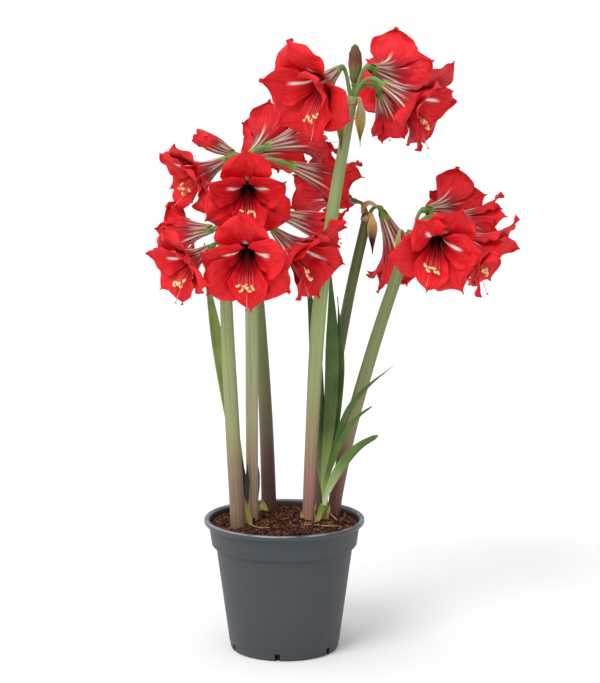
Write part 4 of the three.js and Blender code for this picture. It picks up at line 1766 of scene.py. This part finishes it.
class Tone(Enum):
    """The colour of a leaf, by its age and light: the deep tone is the green leaf darkened as painted shade, for
    leaves that stand in shadow between the stalks.
    """

    SHADED = "deep"
    GREEN = "green"
    LIGHT = "light"
    BLANCHED = "blanched"


@dataclass(frozen=True)
class Leaf:
    """A strap leaf that stands on a neck."""

    name: str
    neck: str
    behind: float
    points: tuple[Point, ...]
    half: float
    face: Point
    blunt: float = 0.0
    tone: Tone = Tone.GREEN

    GAP = 0.35
    THICKNESS = 1.0
    COLUMNS = 12
    STRETCHES = 60

    def skin(self, finishes: Finishes) -> Material:
        """Gives the material of the leaf's tone.

        Args:
            finishes: the materials.

        Returns:
            The material.
        """
        return {
            Tone.SHADED: finishes.leaf_deep,
            Tone.GREEN: finishes.leaf,
            Tone.LIGHT: finishes.leaf_light,
            Tone.BLANCHED: finishes.leaf_blanched,
        }[self.tone]

    def build(self, finishes: Finishes) -> None:
        """Builds the leaf as a channelled blade.

        Args:
            finishes: the materials.
        """
        x, y, z = NECKS[self.neck].top
        foot = (x, y + self.behind, z + self.GAP)
        path = Path.through(foot, (foot[0], foot[1], z + 9), *self.points)
        front, turned = Vector((0.0, -1.0, 0.0)), Vector(self.face)
        salt = self.half * 3.7 + self.behind

        def half_at(s: float) -> float:
            """Gives the half width, which narrows to the tip.

            Args:
                s: the share along, from 0 to 1.

            Returns:
                The half width in millimetres.
            """
            taper = 1 - (1 - 0.6 * self.blunt) * smooth(0.6, 1.02, s)
            tip = math.sqrt(max(0.0, 1.0 - smooth(0.93, 1.0, s) ** 2)) if self.blunt else 1.0
            return self.half * (0.4 + 0.6 * smooth(0, 0.45, s)) * max(0.06, taper * max(0.25, tip))

        def rise_at(across: float, along: float) -> float:
            """Folds the blade into a shallow channel with a faint ripple.

            Args:
                across: the share across, from -1 to 1.
                along: the share along, from 0 to 1.

            Returns:
                Millimetres above the spine.
            """
            channel = 0.25 * half_at(along) * (math.sqrt(across * across + 0.03) - 0.5)
            ripple = 0.5 * smooth(0.2, 0.6, along) * across * math.sin(14 * along + salt)
            return channel + ripple

        mesh = new_mesh()
        strip(
            mesh,
            path.spaced(self.STRETCHES),
            self.COLUMNS,
            half_at,
            lambda s: front.lerp(turned, smooth(0.1, 0.45, s)),
            rise_at,
        )
        sheet(mesh, f"blade_{self.name}", self.skin(finishes), self.THICKNESS, "leaf_blade", self.name)


LEAVES = (
    Leaf(
        "leaf_left_tall", "left", 1.7,
        ((-54, -11, 230), (-70, -16, 320), (-86, -16, 418), (-94, -12, 470), (-97, -9, 510)),
        8, (0.4, -1, 0.2), tone=Tone.LIGHT,
    ),
    Leaf("leaf_left_short", "left", 0, ((-53, -16, 250),), 3.2, (0, -1, 0), tone=Tone.SHADED),
    Leaf("leaf_left_middle", "left", -1.7, ((-45, -19, 237),), 3.2, (0, -1, 0), tone=Tone.SHADED),
    Leaf("leaf_back", "back", 0, ((-35, 43, 232),), 3.6, (0, -1, 0), tone=Tone.SHADED),
    Leaf(
        "leaf_right_low", "right", -6,
        ((56, -4, 204), (64, -9, 222), (79, -15, 246), (95, -20, 262), (115, -27, 275)),
        6.2, (0.3, -1, 0.9), 0.8, Tone.BLANCHED,
    ),
    Leaf(
        "leaf_right_cut", "right", -4.6,
        ((52, -1, 212), (61, -5, 242), (76, -10, 275), (90, -14, 295), (108, -19, 310)),
        4, (0.4, -1, 0.6), 0.4,
    ),
    Leaf(
        "leaf_right_long", "right", -3.4,
        ((52, 2, 215), (62, -1, 252), (78, -6, 300), (100, -9, 330), (134, -12, 359)),
        4, (0.5, -1, 0.5),
    ),
    Leaf(
        "leaf_right_front", "right", 0.2,
        ((50, 8, 220), (57, 9, 300), (59, 10, 400), (56, 8, 494)),
        8.6, (0.3, -1, 0),
    ),
    Leaf(
        "leaf_right_slant", "right", 2.8,
        ((45, 13, 230), (41, 9, 330), (33, 7, 430), (23, 6, 492)),
        8, (0.4, -1, 0.2),
    ),
    Leaf(
        "leaf_right_back", "right", 4.6,
        ((54, 15, 225), (64, 20, 300), (69, 21, 380), (66, 22, 440)),
        8, (-0.5, -1, 0),
    ),
    Leaf("leaf_right_short", "right", -1.8, ((55, 4, 225), (64, 3, 255), (78, 3, 288)), 3.4, (-0.3, -1, 0)),
)


# ---------------------------------------------------------------- pot and soil


@dataclass
class Pot:
    """A round nursery pot with a stepped collar, a rolled rim and drainage slots at its foot."""

    height: float = 166.0
    rim_radius: float = 100.0
    collar_radius: float = 90.8
    collar_bottom: float = 133.0
    shoulder_radius: float = 85.5
    base_radius: float = 67.6
    wall: float = 1.6
    floor: float = 2.4
    slots: int = 6
    slot_turn: float = -97.0
    slot_width: float = 6.5
    slot_height: float = 9.5
    slot_depth: float = 13.0
    edge: float = 0.5
    edge_angle: float = 34.0
    steps: int = 144

    def outer_radius(self, z: float) -> float:
        """Gives the tapered wall's outer radius at a height."""
        return self.base_radius + (self.shoulder_radius - self.base_radius) * z / self.collar_bottom

    def profile(self) -> list[tuple[float, float]]:
        """Gives the pot's section as radius and height, from the middle of its underside to that of its floor.

        Returns:
            Pairs of radius and height.
        """
        neck = self.outer_radius(self.collar_bottom)
        top = self.collar_radius + 3.0
        rim = [
            (self.rim_radius - 4.0, self.height - 6.8),
            (self.rim_radius - 1.2, self.height - 6.4),
            (self.rim_radius - 0.2, self.height - 5.4),
            (self.rim_radius, self.height - 3.2),
            (self.rim_radius - 0.3, self.height - 1.2),
            (self.rim_radius - 1.1, self.height - 0.3),
            (self.rim_radius - 2.2, self.height),
            (self.rim_radius - 3.8, self.height - 0.2),
        ]
        return [
            (0.0, 0.0),
            (self.base_radius - 3.4, 0.0),
            (self.base_radius - 1.0, 0.9),
            (self.base_radius, 3.0),
            (self.base_radius + 0.9, self.slot_height + 0.5),
            (self.outer_radius(self.slot_height + 1.5) + 0.1, self.slot_height + 1.5),
            (self.outer_radius(70), 70.0),
            (neck - 0.2, self.collar_bottom - 1.4),
            (neck + 2.6, self.collar_bottom - 1.2),
            (self.collar_radius - 1.1, self.collar_bottom - 0.6),
            (self.collar_radius - 0.3, self.collar_bottom + 0.6),
            (self.collar_radius, self.collar_bottom + 3),
            (top, self.height - 9),
            (top + 1.0, self.height - 7.6),
            *rim,
            (top + 0.4, self.height - 1.2),
            (top - 0.9, self.height - 2.8),
            (top - self.wall, self.height - 5),
            (self.collar_radius - self.wall, self.collar_bottom + 4),
            (neck - self.wall, self.collar_bottom),
            (self.outer_radius(60) - self.wall, 60.0),
            (self.base_radius - self.wall, self.floor),
            (0.0, self.floor),
        ]

    def shell(self) -> Piece:
        """Spins the section into a closed shell."""
        return close_mesh(spun(self.profile(), self.steps), "pot_blank", ())

    def cutter(self) -> Piece:
        """Builds the six blocks that cut the slots.

        Returns:
            The cutter.
        """
        mesh = new_mesh()
        for i in range(self.slots):
            made = bmesh.ops.create_cube(mesh, size=1.0)["verts"]
            bmesh.ops.scale(mesh, vec=(2 * self.slot_depth, self.slot_width, 2 * self.slot_height), verts=made)
            bmesh.ops.translate(mesh, vec=(self.base_radius, 0, 0), verts=made)
            turn = Matrix.Rotation(math.radians(self.slot_turn + 360 * i / self.slots), 3, "Z")
            bmesh.ops.rotate(mesh, cent=(0, 0, 0), matrix=turn, verts=made)
        return close_mesh(mesh, "slot_cutter", ())

    def build(self, finishes: Finishes) -> None:
        """Builds the pot: the spun shell, cut, with its edges rounded.

        Args:
            finishes: the materials.
        """
        blank, cutter = self.shell(), self.cutter()
        cut = blank.modifiers.new("slots", "BOOLEAN")
        cut.operation, cut.object, cut.solver = "DIFFERENCE", cutter, "EXACT"
        graph = bpy.context.evaluated_depsgraph_get()
        data = bpy.data.meshes.new_from_object(blank.evaluated_get(graph))
        for old in (blank, cutter):
            bpy.data.objects.remove(old)
        data.name = "nursery_pot"
        data.materials.clear()
        data.materials.append(finishes.plastic)
        for face in data.polygons:
            face.use_smooth = True
        pot = linked("nursery_pot", data)
        rounding = pot.modifiers.new("edges", "BEVEL")
        rounding.width, rounding.segments, rounding.limit_method = self.edge * MM, 2, "ANGLE"
        rounding.angle_limit = math.radians(self.edge_angle)
        rounding.harden_normals = True
        declare(pot, "pot_plastic", "pot")


@dataclass
class SoilBed:
    """Coir mix that fills the pot: a lumpy surface, crumbs, fibres and a few roots."""

    bottom: float = 2.75
    edge_height: float = 158.0
    crown: float = 4.0
    radius: float = 91.1
    crumbs: int = 4200
    fibres: int = 1800
    rings: int = 60
    steps: int = 180
    seed: int = 11

    KINDS = 8
    FIBRE_MARGIN = 9.0
    CRUMB_MARGIN = 3.0
    KNOTS = 7
    SHRED_THICKNESS = 0.5

    def surface(self, x: float, y: float) -> float:
        """Gives the soil's height at a place.

        Args:
            x: millimetres to the right.
            y: millimetres to the back.

        Returns:
            The height in millimetres.
        """
        reach = math.hypot(x, y) / self.radius
        lumps = 2.4 * noise.fractal(Vector((x * 0.07, y * 0.07, 3.7)), 0.6, 2.1, 5)
        return self.edge_height + self.crown * (1 - reach * reach) + lumps * (1.0 - smooth(0.93, 1.0, reach))

    def bed(self, finishes: Finishes) -> None:
        """Builds the body of the soil.

        Args:
            finishes: the materials.
        """
        profile = [(0.0, self.bottom), (65.3, self.bottom), (83.0, 133.0), (88.4, 137.0)]
        profile.append((self.radius, self.edge_height))
        profile += [(self.radius * (1 - i / self.rings), self.edge_height) for i in range(1, self.rings + 1)]
        mesh = spun(profile, self.steps)
        for vert in mesh.verts:
            if vert.co.z > self.edge_height - 1:
                vert.co.z = self.surface(vert.co.x, vert.co.y)
        declare(close_mesh(mesh, "coir_bed", (finishes.coir,)), "coir", "soil")

    def crumb(self, kind: int) -> bpy.types.Mesh:
        """Makes one rough crumb.

        Args:
            kind: which variant.

        Returns:
            Its mesh.
        """
        mesh = new_mesh()
        bmesh.ops.create_icosphere(mesh, subdivisions=1, radius=1.0)
        squash = Vector((1.0 + 0.1 * (kind % 4), 0.62, 0.5))
        for vert in mesh.verts:
            vert.co *= 1.0 + 0.7 * noise.noise(vert.co * 1.3 + Vector((kind * 5.0, 0.0, 0.0)))
            vert.co *= squash
        for face in mesh.faces:
            face.material_index = kind % 3
        return to_data(mesh, "crumb")

    def fibre(self, kind: int, chance: random.Random) -> bpy.types.Mesh:
        """Makes one bent fibre, 1 mm long for each unit of its own length.

        Args:
            kind: which variant.
            chance: the source of its bends.

        Returns:
            Its mesh.
        """
        mesh = new_mesh()
        length = 7.0 + 2.6 * kind
        yaw, at, spine = 0.0, Vector((-length / 2, 0.0, 0.0)), []
        for _ in range(self.KNOTS):
            spine.append(at.copy())
            yaw += chance.uniform(-0.55, 0.55)
            at += Vector((math.cos(yaw), math.sin(yaw), chance.uniform(-0.22, 0.22))) * (length / (self.KNOTS - 1))
        tube(mesh, spine, lambda along, _: 0.45 * (1 - 0.5 * abs(2 * along - 1)), 3)
        for face in mesh.faces:
            face.material_index = kind % 3
        bmesh.ops.recalc_face_normals(mesh, faces=mesh.faces)
        return to_data(mesh, "fibre")

    def scatter(
        self,
        name: str,
        kinds: Sequence[bpy.types.Mesh],
        count: int,
        flat: bool,
        finishes: Finishes,
        chance: random.Random,
    ) -> None:
        """Strews copies over the surface as one piece.

        Args:
            name: the piece's name.
            kinds: the variants.
            count: how many copies.
            flat: whether they lie flat, as fibres do.
            finishes: the materials.
            chance: the source of their places.
        """
        mesh = new_mesh()
        for i in range(count):
            kind = kinds[i % len(kinds)]
            edge = self.radius - (self.FIBRE_MARGIN if flat else self.CRUMB_MARGIN)
            reach, turn = edge * math.sqrt(chance.random()), chance.uniform(0, 2 * math.pi)
            x, y = reach * math.cos(turn), reach * math.sin(turn)
            size = chance.uniform(0.7, 1.3) if flat else 0.8 + 2.2 * chance.random() ** 3
            z = self.surface(x, y) + (chance.uniform(0.1, 1.6) if flat else 0.3 * size)
            tilt = chance.uniform(-0.22, 0.22) if flat else chance.uniform(0, 6.0)
            place = (
                Matrix.Translation((x, y, z))
                @ Matrix.Rotation(chance.uniform(0, 2 * math.pi), 4, "Z")
                @ Matrix.Rotation(tilt, 4, "Y")
                @ Matrix.Scale(size, 4)
            )
            copy = kind.copy()
            copy.transform(place)
            mesh.from_mesh(copy)
            bpy.data.meshes.remove(copy)
        tones = (finishes.coir_dark, finishes.coir, finishes.coir_pale)
        declare(close_mesh(mesh, name, tones, recalculate=False), "coir")

    def roots(self, finishes: Finishes) -> None:
        """Lays the pale roots and old sheath strips round the right neck and the stalks.

        Args:
            finishes: the materials.
        """
        mesh = new_mesh()
        runs = (
            ((42, -2, 168), (38, -10, 162), (26, -20, 163), (16, -28, 162), (14, -36, 162)),
            ((20, -26, 162), (34, -32, 164), (52, -34, 163), (70, -30, 162)),
            ((46, 0, 170), (44, -6, 164), (40, -14, 163)),
            ((54, 6, 172), (60, 2, 167), (66, -6, 163)),
            ((-46, -24, 166), (-38, -34, 163), (-26, -40, 162), (-10, -38, 162)),
        )
        for run in runs:
            points = [(x, y, max(z, self.surface(x, y) + 0.6)) for x, y, z in run]
            tube(mesh, Path.through(*points).spaced(24), lambda along, _: 0.85 * (1 - 0.55 * along), 7)
        declare(close_mesh(mesh, "pale_roots", (finishes.papery,)), "neck_sheath")
        shreds = (
            ((-43.5, -20, 158), (-45, -20.5, 176), (-50, -21, 200), 4.6, (0, -1, 0)),
            ((-26, 46, 158), (-27, 45.5, 168), (-29, 45, 180), 7.0, (0, -1, 0)),
            ((24, 3, 160), (22.5, 1, 167), (21, -1, 176), 3.4, (-0.2, -1, 0)),
            ((38, 5, 160), (37, 2, 172), (41, 0.5, 186), 2.2, (-0.3, -1, 0)),
            ((52, 4, 162), (54.5, 1, 172), (57, 0, 183), 2.6, (0.4, -1, 0)),
        )
        mesh = new_mesh()
        for low, middle, high, half, face in shreds:
            strip(
                mesh,
                Path.through(low, middle, high).spaced(16),
                6,
                lambda s, half=half: half * max(0.08, 1 - s**1.4),
                lambda s, face=face: Vector(face),
                lambda across, along: 0.9 * across * across + 0.4 * math.sin(9 * along + 2 * across),
            )
        sheet(mesh, "sheath_strips", finishes.sheath, self.SHRED_THICKNESS, "neck_sheath")

    def build(self, finishes: Finishes) -> None:
        """Builds the bed, what is strewn on it, and the roots.

        Args:
            finishes: the materials.
        """
        chance = random.Random(self.seed)
        self.bed(finishes)
        crumbs = [self.crumb(k) for k in range(self.KINDS)]
        self.scatter("coir_crumbs", crumbs, self.crumbs, False, finishes, chance)
        fibres = [self.fibre(k % 4, chance) for k in range(self.KINDS)]
        self.scatter("coir_fibres", fibres, self.fibres, True, finishes, chance)
        self.roots(finishes)


@dataclass(frozen=True)
class Bulbs:
    """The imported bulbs, which the soil hides and which keep their solids."""

    names: tuple[str, ...] = ("bulb_left", "bulb_back", "bulb_right")

    def build(self, finishes: Finishes) -> None:
        """Gives the bulbs their dry skin.

        Args:
            finishes: the materials.
        """
        for name in self.names:
            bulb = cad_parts[name]
            bulb.data.materials.clear()
            bulb.data.materials.append(finishes.bulb)
            LOG.info("%s keeps its solid, with a dry skin", name)


# ---------------------------------------------------------------- studio


@dataclass
class Studio:
    """A white floor, soft light from the front left, and the camera."""

    camera_place: Point = (0.0195, -2.5, 0.781)
    camera_pitch: float = 8.95
    lens: float = 108.5
    sensor: float = 36.0
    reach: float = 100.0
    sun_strength: float = 1.3
    sun_width: float = 28.0
    sun_from: Point = (-0.6, -0.9, 1.15)
    sky_shade: float = 0.27
    sky_front: float = 0.68
    sky_top: float = 0.5

    def floor(self) -> None:
        """Lays the floor."""
        mesh = bmesh.new()
        bmesh.ops.create_circle(mesh, cap_ends=True, radius=60.0, segments=96)
        data = to_data(mesh, "studio_floor")
        graph = Graph("floor_white")
        data.materials.append(graph.finish(Base_Color=(0.93, 0.93, 0.93, 1.0), Roughness=0.9, Specular_IOR_Level=0.1))
        floor = linked("studio_floor", data)

    def light(self) -> None:
        """Sets a sky that is brightest at the front left and above, seen as plain white, and the sun."""
        scene = bpy.context.scene
        scene.world = bpy.data.worlds.new("studio_sky")
        graph = Graph(scene.world)
        x, y, z = graph.split(graph.signal("ShaderNodeTexCoord", None, None, "Generated"))
        front = self.sky_front * (-0.75 * x - 0.65 * y).between(-0.5, 0.9)
        glow = self.sky_shade + front + self.sky_top * z.between(-0.1, 0.9)
        seen = graph.signal("ShaderNodeLightPath", None, None, "Is Camera Ray")
        strength = glow * (1.0 - seen) + seen
        sky = graph.node("ShaderNodeBackground", None, {"Color": (1.0, 1.0, 1.0, 1.0), "Strength": strength})
        graph.node("ShaderNodeOutputWorld", None, {"Surface": Signal(graph, sky.outputs[0])})
        sun = bpy.data.lights.new("key_light", "SUN")
        sun.energy, sun.angle = self.sun_strength, math.radians(self.sun_width)
        key = linked("key_light", sun)
        key.rotation_mode = "QUATERNION"
        key.rotation_quaternion = Vector(self.sun_from).to_track_quat("Z", "Y")
        scene.view_settings.view_transform = "Standard"

    def camera(self) -> None:
        """Sets the camera."""
        data = bpy.data.cameras.new("studio_camera")
        data.lens, data.sensor_width, data.clip_end = self.lens, self.sensor, self.reach
        camera = linked("studio_camera", data)
        camera.location = self.camera_place
        camera.rotation_euler = (math.radians(90 - self.camera_pitch), 0.0, 0.0)
        bpy.context.scene.camera = camera

    def build(self) -> None:
        """Builds the studio."""
        self.floor()
        self.light()
        self.camera()


def main() -> None:
    """Builds every part of the scene."""
    logging.basicConfig(level=logging.INFO, format="%(name)s %(message)s")
    studio = Studio()
    studio.build()
    finishes = Finishes()
    plants = (*SCAPES, *BRACTS, *COLLARS, *NECKS.values(), *LEAVES, *BLOOMS, PaperyCap())
    for maker in (Pot(), SoilBed(), Bud(), *plants, Bulbs()):
        maker.build(finishes)
    bpy.context.view_layer.update()


if __name__ == "__main__":
    main()
